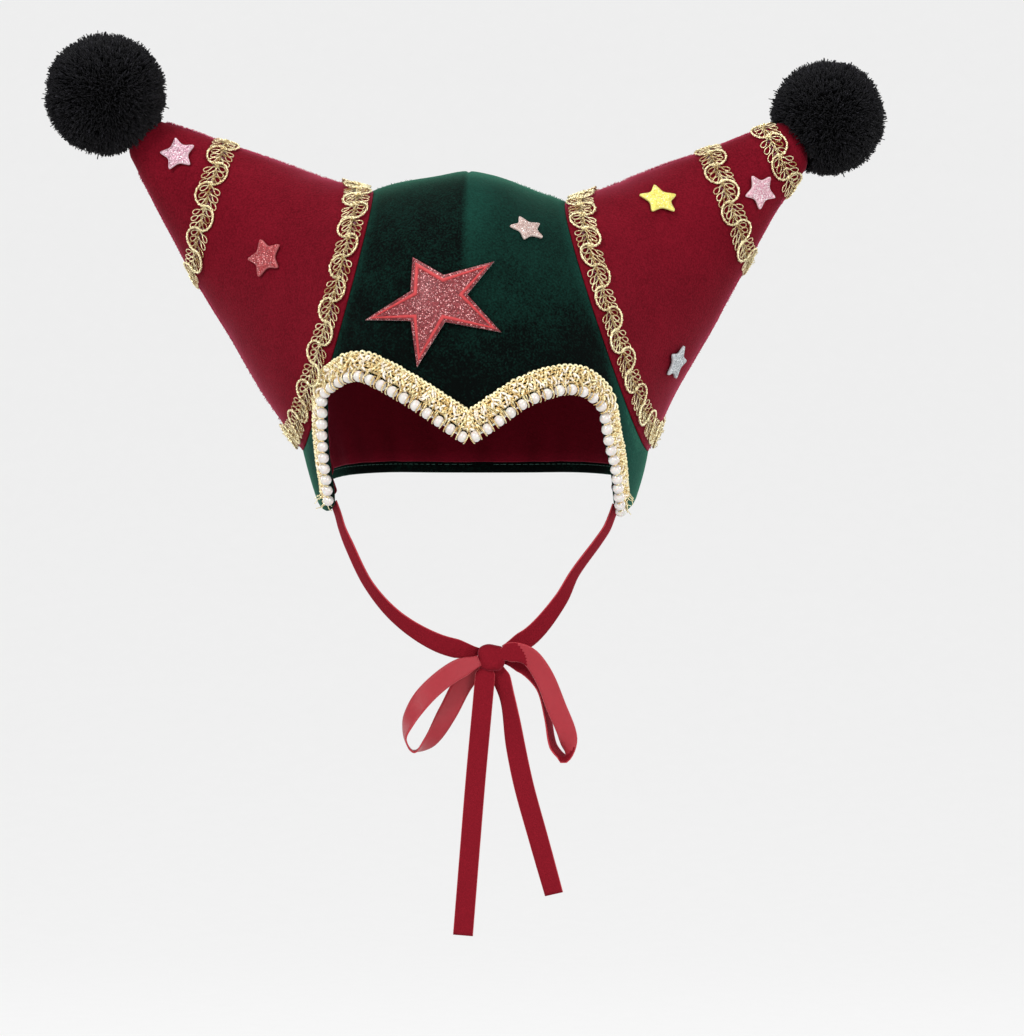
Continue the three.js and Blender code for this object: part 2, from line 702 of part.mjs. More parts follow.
// A block on the outer side of a seam's plane, which it crosses by the clearance
function seamCutter(plane, clearance) {
  const size = 3 * crownHalfDepth;
  const block = new THREE.BoxGeometry(size, size, size);
  const basis = new THREE.Matrix4().makeBasis(plane.out, plane.back, plane.out.clone().cross(plane.back));
  const place = plane.middle.clone().addScaledVector(plane.out, size / 2 - clearance);
  block.applyMatrix4(basis.setPosition(place));
  return toSolid(block);
}

// How far down the last row of the crown's wall the lining's edge lies, for each place of the rim
function liningEdgeShares(places) {
  const edge = rimPlaces(hemWidth);
  return places.map((place) => {
    let level = place.level;
    edge.forEach((from, count) => {
      const to = edge[(count + 1) % edge.length];
      const span = to.turn - from.turn;
      const share = (place.turn - from.turn) / span;
      if (Math.abs(span) < Math.PI && span !== 0 && share >= 0 && share <= 1) {
        level = Math.min(level, from.level + share * (to.level - from.level));
      }
    });
    const rowsDown = (arcAtLevel(level) / arcAtLevel(place.level)) * crownRows;
    return Math.max(rowsDown - (crownRows - 1), liningLeastRow);
  });
}

// The lining follows the crown's rows and ends a hem's width above the rim, gathered at its edge
function makeLining() {
  const places = rimPlaces(0);
  const shares = liningEdgeShares(places);
  const skin = (outset) => {
    const rings = crownRings(places, outset, false);
    const gathered = crownRings(places, outset - gatherDepth, false);
    const edge = places.map((place, column) => {
      const from = column % 2 === 1 ? gathered : rings;
      const above = rings[crownRows - 2][column].clone();
      return above.lerp(from[crownRows - 1][column], shares[column]);
    });
    return { pole: crownPoint(0, 0, outset, false), rings: [...rings.slice(0, -1), edge] };
  };
  const outer = skin(-(velvetWall + pieceGap));
  const inner = skin(-(velvetWall + pieceGap + liningWall));
  return shellGeometry(outer.pole, outer.rings, inner.pole, inner.rings);
}

// A ring of braid round a horn, its edges in and out by turns as the scrolls are
function makeBraidRing(surface, centreAt, stepsPerSide) {
  const steps = hornSides * stepsPerSide;
  const sections = [];
  for (let step = 0; step < steps; step++) {
    const around = step / steps;
    const centre = centreAt(around);
    const small = 0.02;
    const scale = surface.point(around, centre + small).distanceTo(surface.point(around, centre)) / small;
    const sway = step % 2 === 0 ? braidScallop : -braidScallop;
    const low = centre + (sway - braidWidth / 2) / scale;
    const high = centre + (sway + braidWidth / 2) / scale;
    sections.push([
      surface.point(around, low, pieceGap),
      surface.point(around, high, pieceGap),
      surface.point(around, high, pieceGap + braidWall),
      surface.point(around, low, pieceGap + braidWall),
    ]);
  }
  return loftGeometry(sections, true);
}

// The braid beside the seam keeps its distance from it all the way round
function besideSeam(surface) {
  return (around) => {
    const small = 0.05;
    const scale = surface.point(around, small).distanceTo(surface.point(around, 0)) / small;
    return braidSeamDistance / scale;
  };
}

// A pompom: locks that stand on a core as one body, with a seat for the horn's tip cut into it
function makePompom(pompom, surface, sideClearance) {
  const centre = new THREE.Vector3(pompom.across * hornSpan, -pompom.forward, pompom.up * hornHeight);
  const ball = new THREE.IcosahedronGeometry(1, pompomDetail);
  ball.deleteAttribute("normal");
  ball.deleteAttribute("uv");
  const core = mergeVertices(ball, 1e-4);
  const points = core.attributes.position;
  const raised = [];
  for (let count = 0; count < points.count; count++) {
    const out = new THREE.Vector3().fromBufferAttribute(points, count).normalize();
    const free = raised.every((other) => other.distanceTo(out) > lockSpacing);
    const reach = free ? 1 - lockUnevenness * scatter(count) : pompomCoreShare;
    if (free) {
      raised.push(out);
    }
    const place = out.clone().multiplyScalar(pompom.radius * reach).add(centre);
    points.setXYZ(count, place.x, place.y, place.z);
  }
  const seatRings = hornRings.slice(-3).toReversed();
  const seat = hornSkin(surface, seatRings, pieceGap, hornCapLength + pieceGap);
  const side = hornSkin(surface, seatRings, sideClearance, sideClearance);
  const cutters = [loftWithPole(seat.pole, seat.rings), loftWithPole(side.pole, side.rings)];
  const whole = cutters.reduce((solid, cutter) => solid.subtract(toSolid(cutter)), toSolid(core));
  return fromSolid(keepLargest(whole));
}

function loftWithPole(pole, rings) {
  const around = rings[0].length;
  const points = [pole, ...rings.flat()];
  const foot = rings[rings.length - 1].reduce((sum, corner) => sum.add(corner), new THREE.Vector3());
  points.push(foot.divideScalar(around));
  const faces = [];
  const at = (ring, column) => 1 + ring * around + (column % around);
  for (let column = 0; column < around; column++) {
    faces.push([0, at(0, column), at(0, column + 1)]);
    for (let ring = 0; ring + 1 < rings.length; ring++) {
      faces.push([at(ring, column), at(ring + 1, column), at(ring + 1, column + 1)]);
      faces.push([at(ring, column), at(ring + 1, column + 1), at(ring, column + 1)]);
    }
    const last = rings.length - 1;
    faces.push([points.length - 1, at(last, column + 1), at(last, column)]);
  }
  return closedGeometry(points, faces);
}

function keepLargest(solid) {
  return solid.decompose().reduce((best, piece) => (piece.volume() > best.volume() ? piece : best));
}

// Half of the face braid, from the forehead point to a flap's tip
function makeFaceBraid(side, plane) {
  const sections = [];
  for (let station = 0; station <= flapTipStation; station += faceBraidStep) {
    const low = clearOfMiddle(station, side, faceBraidInset);
    const high = clearOfMiddle(station, side, faceBraidInset + faceBraidWidth);
    sections.push([
      crownPoint(low.turn, low.level, pieceGap),
      crownPoint(high.turn, high.level, pieceGap),
      crownPoint(high.turn, high.level, pieceGap + faceBraidWall),
      crownPoint(low.turn, low.level, pieceGap + faceBraidWall),
    ]);
  }
  const whole = toSolid(loftGeometry(sections, false));
  return fromSolid(keepLargest(whole.subtract(seamCutter(plane, pieceGap))));
}

// A place beside the rim that keeps clear of the middle, where the two halves meet
function clearOfMiddle(station, side, inset) {
  const place = rimInset(station, side, inset);
  const clear = (pieceGap / 2 / crownHalfWidth) ** (planRoundness / 2);
  return { turn: side * Math.max(side * place.turn, clear), level: place.level };
}

// The path of a string of pearls just outside the rim, as points a short way apart with their distances
function pearlPath(side) {
  const beyond = pearlRadius * pearlBeyondShare;
  const outset = pearlRadius * pearlOutsetShare;
  const path = [];
  let run = 0;
  for (let count = 0; count <= flapTipStation * pearlPathSteps; count++) {
    const station = count / pearlPathSteps;
    const place = rimInset(station, side, -beyond);
    const point = crownPoint(place.turn, place.level, outset);
    run += count > 0 ? point.distanceTo(path[path.length - 1].point) : 0;
    path.push({ point, run, station });
  }
  return path;
}

function alongPath(path, run) {
  const next = Math.max(path.findIndex((spot) => spot.run > run), 1);
  const [from, to] = [path[next - 1], path[next]];
  const share = (run - from.run) / (to.run - from.run);
  return {
    point: from.point.clone().lerp(to.point, share),
    tangent: to.point.clone().sub(from.point).normalize(),
    station: from.station,
  };
}

// A string of pearls in one piece: each pearl has rings of its own and a thread joins it to the next
function makePearlString(side) {
  const path = pearlPath(side);
  const total = path[path.length - 1].run;
  const sections = [];
  const ring = (run, radius) => {
    const spot = alongPath(path, run);
    const sideways = spot.tangent.clone().cross(new THREE.Vector3(0, 1, 0.3)).normalize();
    const other = spot.tangent.clone().cross(sideways);
    const corners = [];
    for (let corner = 0; corner < pearlSides; corner++) {
      const angle = (2 * Math.PI * corner) / pearlSides;
      const place = spot.point.clone().addScaledVector(sideways, radius * Math.cos(angle));
      corners.push(place.addScaledVector(other, radius * Math.sin(angle)));
    }
    sections.push(corners);
  };
  const middle = path[0].point.x;
  const clear = path.find((spot) => side * (spot.point.x - middle) > pearlRadius + pieceGap / 2);
  let centre = clear.run;
  let last = centre;
  while (centre + pearlRadius < total) {
    for (const row of pearlRings) {
      ring(centre + row.along * pearlRadius, row.radius * pearlRadius);
    }
    last = centre;
    centre += alongPath(path, centre).station < pearlCornerStation ? pearlPitchFront : pearlPitchFlap;
  }
  const end = pearlRings[0];
  ring(last - end.along * pearlRadius, end.radius * pearlRadius);
  return loftGeometry(sections, false);
}

// The front face of a mesh at a place seen from the front
function frontOf(geometry, x, z) {
  const points = geometry.attributes.position;
  const index = geometry.index.array;
  let nearest = Infinity;
  for (let face = 0; face < index.length; face += 3) {
    const [a, b, c] = [index[face], index[face + 1], index[face + 2]];
    const [ax, az] = [points.getX(a) - x, points.getZ(a) - z];
    const [bx, bz] = [points.getX(b) - x, points.getZ(b) - z];
    const [cx, cz] = [points.getX(c) - x, points.getZ(c) - z];
    const [wc, wa, wb] = [ax * bz - az * bx, bx * cz - bz * cx, cx * az - cz * ax];
    const all = wa + wb + wc;
    const sameSide = (wa >= 0 && wb >= 0 && wc >= 0) || (wa <= 0 && wb <= 0 && wc <= 0);
    if (!sameSide || Math.abs(all) < 1e-9) {
      continue;
    }
    nearest = Math.min(nearest, (wa * points.getY(a) + wb * points.getY(b) + wc * points.getY(c)) / all);
  }
  return nearest;
}

// The large star: a cloth patch that follows the front of the crown
function makeLargeStar(carrier, centre, corners) {
  const spots = [{ x: 0, z: 0 }];
  const outline = [];
  corners.forEach((corner, count) => {
    const next = corners[(count + 1) % corners.length];
    outline.push(corner, { x: (corner.x + next.x) / 2, z: (corner.z + next.z) / 2 });
  });
  for (const share of largeStarRings) {
    spots.push(...outline.map((corner) => ({ x: corner.x * share, z: corner.z * share })));
  }
  const fronts = spots.map((spot) => frontOf(carrier, centre.x + spot.x, centre.z + spot.z));
  const layer = (standoff) => spots.map((spot, count) => {
    return new THREE.Vector3(centre.x + spot.x, fronts[count] - standoff, centre.z + spot.z);
  });
  const skins = [layer(largeStarStandoff + starWall), layer(largeStarStandoff)].map((points) => {
    const rings = [];
    for (let ring = 0; ring < largeStarRings.length; ring++) {
      rings.push(points.slice(1 + ring * outline.length, 1 + (ring + 1) * outline.length));
    }
    return { pole: points[0], rings };
  });
  return shellGeometry(skins[0].pole, skins[0].rings, skins[1].pole, skins[1].rings);
}

// A small star: a stiff flat patch that touches the surface at its middle
function makeSmallStar(carrier, centre, corners) {
  const probe = smallStarReach * smallStarWaist;
  const at = (across, up) => {
    const [x, z] = [centre.x + across, centre.z + up];
    return new THREE.Vector3(x, frontOf(carrier, x, z), z);
  };
  const across = at(probe, 0).sub(at(-probe, 0)).normalize();
  const up = at(0, probe).sub(at(0, -probe)).normalize();
  const out = across.clone().cross(up).normalize();
  const level = new THREE.Vector3(0, 0, 1).addScaledVector(out, -out.z).normalize();
  const shape = new THREE.Shape(corners.map((corner) => new THREE.Vector2(corner.x, corner.z)));
  const geometry = new THREE.ExtrudeGeometry(shape, { depth: starWall, bevelEnabled: false });
  const basis = new THREE.Matrix4().makeBasis(level.clone().cross(out), level, out);
  const place = at(0, 0).addScaledVector(out, smallStarStandoff);
  geometry.applyMatrix4(basis.setPosition(place));
  return geometry;
}

function smallStarCorners(spin) {
  const corners = [];
  for (let corner = 0; corner < 10; corner++) {
    const reach = smallStarReach * (corner % 2 === 0 ? 1 : smallStarWaist);
    const angle = toRadians(90 + spin + corner * 36);
    corners.push({ x: reach * Math.cos(angle), z: reach * Math.sin(angle) });
  }
  return corners;
}

function largeStarOutline() {
  return largeStarCorners.map((corner) => {
    const reach = largeStarReach * corner.reach;
    return { x: reach * Math.cos(toRadians(corner.turn)), z: reach * Math.sin(toRadians(corner.turn)) };
  });
}

// A flat ribbon along its route, made larger by grow on every side
function makeRibbon(route, grow = 0) {
  const curve = new THREE.CatmullRomCurve3(route.map((row) => new THREE.Vector3(row.x, row.y, row.z)));
  const rolls = new THREE.CatmullRomCurve3(route.map((row) => new THREE.Vector3(row.roll, 0, 0)));
  const steps = Math.ceil(curve.getLength() / ribbonStepLength);
  const sections = [];
  for (let step = 0; step <= steps; step++) {
    const share = step / steps;
    const tangent = curve.getTangent(share).normalize();
    const flat = tangent.clone().cross(new THREE.Vector3(0, 1, 0)).normalize();
    const wide = flat.applyAxisAngle(tangent, toRadians(rolls.getPoint(share).x));
    const thick = tangent.clone().cross(wide);
    const centre = curve.getPoint(share);
    if (step === 0 || step === steps) {
      centre.addScaledVector(tangent, step === 0 ? -grow : grow);
    }
    const [halfWide, halfThick] = [ribbonWidth / 2 + grow, ribbonWall / 2 + grow];
    const corner = (sideways, through) => {
      const place = centre.clone().addScaledVector(wide, sideways * halfWide);
      return place.addScaledVector(thick, through * halfThick);
    };
    sections.push([corner(-1, -1), corner(1, -1), corner(1, 1), corner(-1, 1)]);
  }
  return loftGeometry(sections, false);
}

// The knot: a rounded lump with a waist, slotted where the ribbons enter it
function makeKnot(routes) {
  const lump = new THREE.SphereGeometry(1, knotSides, knotRings);
  const points = lump.attributes.position;
  for (let count = 0; count < points.count; count++) {
    const [x, y, z] = [points.getX(count), points.getY(count), points.getZ(count)];
    const waist = 1 - knotWaist * (1 - Math.abs(x));
    points.setXYZ(
      count,
      knotCentre.x + knotHalfWidth * rounded(x, planRoundness),
      knotCentre.y + knotHalfDepth * waist * rounded(y, planRoundness),
      knotCentre.z + knotHalfHeight * waist * rounded(z, planRoundness),
    );
  }
  let solid = toSolid(lump);
  for (const route of routes) {
    solid = solid.subtract(toSolid(makeRibbon(route, pieceGap)));
  }
  return fromSolid(keepLargest(solid));
}

const hat = new THREE.Group();

function addPiece(name, geometry, colour, roughness, metalness = 0) {
  const material = new THREE.MeshStandardMaterial({ color: colour, roughness, metalness });
  const mesh = new THREE.Mesh(geometry, material);
  mesh.name = name;
  hat.add(mesh);
  return geometry;
}

const leftSurface = makeHornSurface(leftHorn);
const rightSurface = makeHornSurface(rightHorn);
const crown = addPiece("crown", makeCrown([leftSurface.plane, rightSurface.plane]), colours.green, 0.9);
addPiece("lining", makeLining(), colours.lining, 0.85);
const leftSkin = addPiece("horn_left", makeHorn(leftSurface), colours.burgundy, 0.9);
const rightSkin = addPiece("horn_right", makeHorn(rightSurface), colours.burgundy, 0.9);

addPiece("gimp_left_base", makeBraidRing(leftSurface, besideSeam(leftSurface), 2), colours.gold, 0.35, 1);
addPiece("gimp_left_middle", makeBraidRing(leftSurface, () => braidMiddle, 1), colours.gold, 0.35, 1);
const rightBaseLine = besideSeam(rightSurface);
addPiece("gimp_right_base", makeBraidRing(rightSurface, rightBaseLine, 2), colours.gold, 0.35, 1);
addPiece("gimp_right_middle", makeBraidRing(rightSurface, () => braidMiddle, 1), colours.gold, 0.35, 1);
addPiece("gimp_right_tip", makeBraidRing(rightSurface, () => braidTip, 1), colours.gold, 0.35, 1);

const braidClearance = pieceGap + braidWall + pieceGap;
addPiece("pompom_left", makePompom(leftPompom, leftSurface, pieceGap), colours.yarn, 0.95);
addPiece("pompom_right", makePompom(rightPompom, rightSurface, braidClearance), colours.yarn, 0.95);

addPiece("face_braid_left", makeFaceBraid(-1, leftSurface.plane), colours.gold, 0.35, 1);
addPiece("face_braid_right", makeFaceBraid(1, rightSurface.plane), colours.gold, 0.35, 1);
addPiece("pearls_left", makePearlString(-1), colours.pearl, 0.3);
addPiece("pearls_right", makePearlString(1), colours.pearl, 0.3);

const largeStarCentre = { x: largeStarPlace.across * crownHalfWidth, z: largeStarPlace.up * hornHeight };
addPiece("star_red_large", makeLargeStar(crown, largeStarCentre, largeStarOutline()), colours.starRed, 0.5);
const carriers = { crown, left: leftSkin, right: rightSkin };
for (const star of smallStars) {
  const span = star.on === "crown" ? crownHalfWidth : hornSpan;
  const centre = { x: star.across * span, z: star.up * hornHeight };
  const starSolid = makeSmallStar(carriers[star.on], centre, smallStarCorners(star.spin));
  addPiece(star.name, starSolid, star.colour, 0.45);
}

for (const [name, route] of Object.entries(ribbonRoutes)) {
  addPiece(name, makeRibbon(route), colours.ribbon, 0.8);
}
addPiece("bow_knot", makeKnot(Object.values(ribbonRoutes)), colours.ribbon, 0.8);

export default hat;
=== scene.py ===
# Looks of the jester hat, laid out as a Blender add-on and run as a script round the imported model
import math

import bpy
import numpy as np
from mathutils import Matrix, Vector


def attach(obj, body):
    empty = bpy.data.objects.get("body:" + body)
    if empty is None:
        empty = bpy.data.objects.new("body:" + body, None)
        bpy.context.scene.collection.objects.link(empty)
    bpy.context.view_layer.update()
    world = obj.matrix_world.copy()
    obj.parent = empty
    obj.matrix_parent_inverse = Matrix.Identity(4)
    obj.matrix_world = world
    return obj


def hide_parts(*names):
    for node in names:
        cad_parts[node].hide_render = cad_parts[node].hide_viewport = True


bl_info = {
    "name": "Jester hat",
    "version": (1, 0, 0),
    "blender": (4, 5, 0),
    "location": "3D View > Sidebar > Jester hat",
    "description": "Models and dresses a velvet jester hat round its packed solids",
    "category": "Add Mesh",
}

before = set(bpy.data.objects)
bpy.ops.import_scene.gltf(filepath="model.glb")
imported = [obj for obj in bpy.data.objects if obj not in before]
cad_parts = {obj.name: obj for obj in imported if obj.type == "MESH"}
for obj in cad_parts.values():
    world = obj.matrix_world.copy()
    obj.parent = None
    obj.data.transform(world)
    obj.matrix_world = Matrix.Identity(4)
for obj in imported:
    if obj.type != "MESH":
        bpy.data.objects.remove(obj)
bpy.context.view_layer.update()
MM = 0.001

# Crown, in millimetres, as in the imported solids
VELVET_WALL = 2.0
LINING_WALL = 1.0
PIECE_GAP = 0.3
CROWN_HALF_WIDTH = 85.5
CROWN_HALF_DEPTH = 106.0
CROWN_HEIGHT = 163.0
CROWN_SHOULDER_DROP = 100.0
PLAN_ROUNDNESS = 2.3
PROFILE_ROUNDNESS = 2.8
CROWN_TOP = LINING_WALL + PIECE_GAP + VELVET_WALL
FLAP_SWAY = 3.3
FLAP_PULL = 0.155
NAPE_PULL = 0.05
SEAM_RIDGE_HEIGHT = 2.2
SEAM_RIDGE_WIDTH = 11.0
RIDGE_FADE_START = 0.1
RIDGE_FADE_END = 0.85
SHOULDER_SLUMP = 5.0
SLUMP_START = 0.12
SLUMP_FULL = 0.45
SLUMP_END = 0.8

# The rim from the forehead point to the nape: turn in degrees and drop as a share of the height
RIM_TURNS = {
    -1: [0, 6, 12.5, 18.2, 24, 30, 35.3, 40.3, 48.3, 50, 52.1, 54.1, 56.5, 60.5, 69, 80.5, 96,
         108, 122, 136, 150, 165, 180],
    1: [0, 7, 14, 21, 27, 33, 37.5, 42, 43.9, 46.2, 50.4, 55.1, 59.3, 63.8, 71.5, 81.5, 96,
        108, 122, 136, 150, 165, 180],
}
RIM_DROPS = {
    -1: [0.763, 0.716, 0.67, 0.637, 0.609, 0.588, 0.589, 0.604, 0.64, 0.698, 0.778, 0.855, 0.92,
         0.958, 0.972, 0.952, 0.915, 0.885, 0.865, 0.855, 0.85, 0.85, 0.85],
    1: [0.763, 0.71, 0.662, 0.637, 0.625, 0.629, 0.647, 0.679, 0.722, 0.776, 0.833, 0.895, 0.94,
        0.968, 0.976, 0.954, 0.915, 0.885, 0.865, 0.855, 0.85, 0.85, 0.85],
}
RIM_LAST = 22
FLAP_TIP_STATION = 13
HEM_WIDTH = 5.0

# Horns, in millimetres: sections hold along, top out, top up, bottom out, bottom up, half depth share
HORN_SPAN = 165.0
HORN_HEIGHT = 160.0
HORN_CREASE = 1.2
HORN_CAP = 6.0
SECTION_BLEND = 1.4
SEAM_TOP_OUT = 48.0
SEAM_BOTTOM_DROP = 128.0
HORNS = {
    "left": {
        "side": -1,
        "bottom_out": 80.5,
        "turn": 6.6,
        "sections": [
            (0.25, 0.424, 0.022, 0.6, -0.616, 0.75),
            (0.5, 0.57, 0.079, 0.697, -0.447, 0.51),
            (0.72, 0.709, 0.128, 0.803, -0.268, 0.32),
            (0.88, 0.812, 0.169, 0.894, -0.092, 0.2),
            (1, 0.909, 0.2, 0.988, 0.09, 0.125),
        ],
    },
    "right": {
        "side": 1,
        "bottom_out": 85.5,
        "turn": 4.8,
        "sections": [
            (0.25, 0.424, 0.003, 0.59, -0.622, 0.75),
            (0.5, 0.564, 0.063, 0.694, -0.438, 0.51),
            (0.72, 0.691, 0.106, 0.804, -0.228, 0.32),
            (0.88, 0.806, 0.154, 0.891, -0.065, 0.2),
            (1, 0.891, 0.187, 0.973, 0.05, 0.125),
        ],
    },
}
BRAID_SEAM_DISTANCE = 9.0
GIMP_BANDS = {
    "gimp_left_base": ("left", None),
    "gimp_left_middle": ("left", 0.72),
    "gimp_right_base": ("right", None),
    "gimp_right_middle": ("right", 0.72),
    "gimp_right_tip": ("right", 0.94),
}
POMPOMS = {
    "pompom_left": ("left", (-174.1, -8.0, 43.8), 29.0),
    "pompom_right": ("right", (171.6, 8.0, 33.3), 27.5),
}

# Pearls and face braid, in millimetres
PEARL_RADIUS = 2.6
PEARL_BEYOND = 0.8
PEARL_OUTSET = 0.98
PEARL_PITCH_FRONT = 6.4
PEARL_PITCH_FLAP = 5.3
PEARL_CORNER_STATION = 7
PATH_STEPS = 40

# The large star: centre, longest reach, and turn and reach share of each corner
LARGE_STAR_CENTRE = (-11.115, -61.76)
LARGE_STAR_REACH = 34.4
LARGE_STAR_CORNERS = [
    (37, 0.92), (79, 0.38), (119, 0.71), (156, 0.4), (192, 1),
    (213, 0.43), (252, 0.89), (291, 0.27), (335, 0.92), (376, 0.4),
]

# Ribbon routes in metres, repeated from the part's source: x, y, z and roll in degrees
RIBBON_WIDTH = 0.0093
RIBBON_WALL = 0.0009
RIBBON_ROUTES = {
    "strap_left": [
        (-0.062, -0.0494, -0.1516, 68), (-0.0601, -0.05, -0.1566, 68), (-0.058, -0.0508, -0.1636, 66),
        (-0.0547, -0.0518, -0.1714, 60), (-0.0453, -0.0535, -0.1901, 58),
        (-0.0318, -0.0555, -0.2053, 45), (-0.013, -0.057, -0.2168, 20), (0.0056, -0.058, -0.2215, 0),
    ],
    "strap_right": [
        (0.0695, -0.0449, -0.1528, -70), (0.0677, -0.0452, -0.1578, -70), (0.0653, -0.046, -0.1636, -68),
        (0.0614, -0.0472, -0.1695, -66), (0.0505, -0.05, -0.1844, -62), (0.0437, -0.053, -0.197, -45),
        (0.03, -0.056, -0.2135, -20), (0.0178, -0.058, -0.2202, 0),
    ],
    "loop_left": [
        (0.0065, -0.0662, -0.2245, 0), (-0.0062, -0.0675, -0.2302, 4), (-0.0191, -0.0685, -0.2413, 15),
        (-0.0265, -0.0675, -0.2529, 50), (-0.0281, -0.065, -0.26, 82), (-0.0245, -0.0615, -0.2665, 88),
        (-0.017, -0.0595, -0.2625, 50), (-0.0084, -0.059, -0.2488, 12), (-0.0018, -0.0594, -0.2362, 2),
        (0.0056, -0.06, -0.2264, 0),
    ],
    "loop_right": [
        (0.016, -0.0662, -0.2221, 0), (0.022, -0.067, -0.2206, 10), (0.029, -0.068, -0.2224, 20),
        (0.0355, -0.0685, -0.2305, 14), (0.042, -0.068, -0.246, 6), (0.0473, -0.0665, -0.2604, 20),
        (0.046, -0.063, -0.2695, 75), (0.0408, -0.06, -0.265, 70), (0.038, -0.059, -0.2516, 72),
        (0.0348, -0.059, -0.237, 60), (0.0275, -0.0595, -0.227, 20), (0.0186, -0.06, -0.224, 0),
    ],
    "tail_left": [
        (0.0094, -0.064, -0.227, 0), (0.008, -0.0646, -0.243, 4), (0.0047, -0.064, -0.2786, -3),
        (0.0019, -0.063, -0.3124, 3), (-0.0013, -0.062, -0.3519, 0),
    ],
    "tail_right": [
        (0.0144, -0.062, -0.227, 0), (0.0195, -0.0615, -0.2431, 38), (0.0232, -0.061, -0.2653, 10),
        (0.0269, -0.0605, -0.2829, 0), (0.0334, -0.0595, -0.3066, 6), (0.0408, -0.0585, -0.3331, 20),
    ],
}
# Each ribbon's far end, and the shares of its length where its front face shows the satin side
RIBBON_ENDS = {
    "strap_left": ("knot", ()),
    "strap_right": ("knot", ()),
    "loop_left": ("object", ((0.0, 1.0),)),
    "loop_right": ("object", ((0.16, 0.52),)),
    "tail_left": ("bare", ()),
    "tail_right": ("bare", ()),
}
KNOT_CENTRE = (0.0118, -0.062, -0.2234)
KNOT_HALF = (0.007, 0.006, 0.0062)

# Camera and stage, in metres
AIM = (0.0201, 0.0, -0.1588)
CAMERA_DISTANCE = 1.8
CAMERA_TURN = 1.2
PICTURE_HEIGHT = 0.4963
FLOOR_LEVEL = -0.62


class HatColours(bpy.types.PropertyGroup):
    """Colours of the hat's cloths and trims."""

    green: bpy.props.FloatVectorProperty(
        name="Green velvet", description="Colour of the crown", subtype="COLOR", size=3,
        default=(0.0009, 0.0018, 0.0016))
    # The lighter green shows where the random patches and the painted sheen are high.
    green_light: bpy.props.FloatVectorProperty(
        name="Green where the pile lies down", description="Lighter green of the crown",
        subtype="COLOR", size=3, default=(0.0065, 0.046, 0.033))
    burgundy: bpy.props.FloatVectorProperty(
        name="Burgundy velvet", description="Colour of the horns", subtype="COLOR", size=3,
        default=(0.086, 0.002, 0.0062))
    # The lighter burgundy shows where the random patches and the painted sheen are high.
    burgundy_light: bpy.props.FloatVectorProperty(
        name="Burgundy where the pile lies down", description="Lighter burgundy of the horns",
        subtype="COLOR", size=3, default=(0.2, 0.0062, 0.0165))
    lining: bpy.props.FloatVectorProperty(
        name="Lining", description="Colour of the lining", subtype="COLOR", size=3,
        default=(0.085, 0.002, 0.007))
    yarn: bpy.props.FloatVectorProperty(
        name="Yarn", description="Colour of the pompoms", subtype="COLOR", size=3,
        default=(0.0022, 0.0022, 0.0028))
    gold: bpy.props.FloatVectorProperty(
        name="Gold cord", description="Darker colour of the gold cord", subtype="COLOR", size=3,
        default=(0.31, 0.155, 0.025))
    cream: bpy.props.FloatVectorProperty(
        name="Cream cord", description="Paler colour of the gold cord", subtype="COLOR", size=3,
        default=(1.0, 0.93, 0.6))
    pearl: bpy.props.FloatVectorProperty(
        name="Pearl", description="Colour of the pearls", subtype="COLOR", size=3,
        default=(0.58, 0.53, 0.49))
    ribbon: bpy.props.FloatVectorProperty(
        name="Ribbon velvet", description="Colour of the ribbon's velvet face", subtype="COLOR",
        size=3, default=(0.172, 0.0068, 0.0135))
    satin: bpy.props.FloatVectorProperty(
        name="Ribbon satin", description="Colour of the ribbon's back and edges", subtype="COLOR",
        size=3, default=(0.29, 0.017, 0.026))


class HatSizes(bpy.types.PropertyGroup):
    """Sizes of the hat's fine trims."""

    gimp_cord: bpy.props.FloatProperty(
        name="Scroll cord radius", description="Radius of one cord of the scroll braid",
        default=0.00037, unit="LENGTH")
    gimp_thread: bpy.props.FloatProperty(
        name="Scroll loop radius", description="Radius of the small loops' cord",
        default=0.00025, unit="LENGTH")
    gimp_period: bpy.props.FloatProperty(
        name="Scroll length", description="Length of one left and one right scroll",
        default=0.0205, unit="LENGTH")
    pearl_radius: bpy.props.FloatProperty(
        name="Pearl radius", description="Radius of a pearl", default=0.0026, unit="LENGTH")
    yarn_strands: bpy.props.IntProperty(
        name="Yarn strands", description="Strands of yarn on each pompom", default=14000)
    yarn_radius: bpy.props.FloatProperty(
        name="Yarn radius", description="Radius of a strand of yarn", default=0.00034, unit="LENGTH")
    gather_depth: bpy.props.FloatProperty(
        name="Gather depth", description="How far the lining's edge waves", default=0.0013,
        unit="LENGTH")


def sizes():
    return bpy.context.scene.jester_hat_sizes


def colours():
    return bpy.context.scene.jester_hat_colours


# Shape functions, in millimetres


def rounded(value, roundness):
    return np.sign(value) * np.abs(value) ** (2 / roundness)


def soft_step(value):
    held = np.clip(value, 0, 1)
    return held * held * (3 - 2 * held)


def unit(vectors):
    return vectors / np.maximum(np.linalg.norm(vectors, axis=-1, keepdims=True), 1e-12)


def level_shape(level):
    """Width and depth shares and the drop of the crown at a level."""
    level = np.asarray(level, float)
    turn = np.clip(level, 0, 1) * math.pi / 2
    upper = np.sin(turn) ** (2 / PROFILE_ROUNDNESS)
    upper_drop = CROWN_SHOULDER_DROP * (1 - np.clip(np.cos(turn), 0, 1) ** (2 / PROFILE_ROUNDNESS))
    below = np.maximum(level - 1, 0)
    lower_drop = CROWN_SHOULDER_DROP + below * (CROWN_HEIGHT - CROWN_SHOULDER_DROP)
    wide = np.where(level <= 1, upper, 1 - FLAP_PULL * below**2)
    deep = np.where(level <= 1, upper, 1 - NAPE_PULL * below**2)
    return wide, deep, np.where(level <= 1, upper_drop, lower_drop)


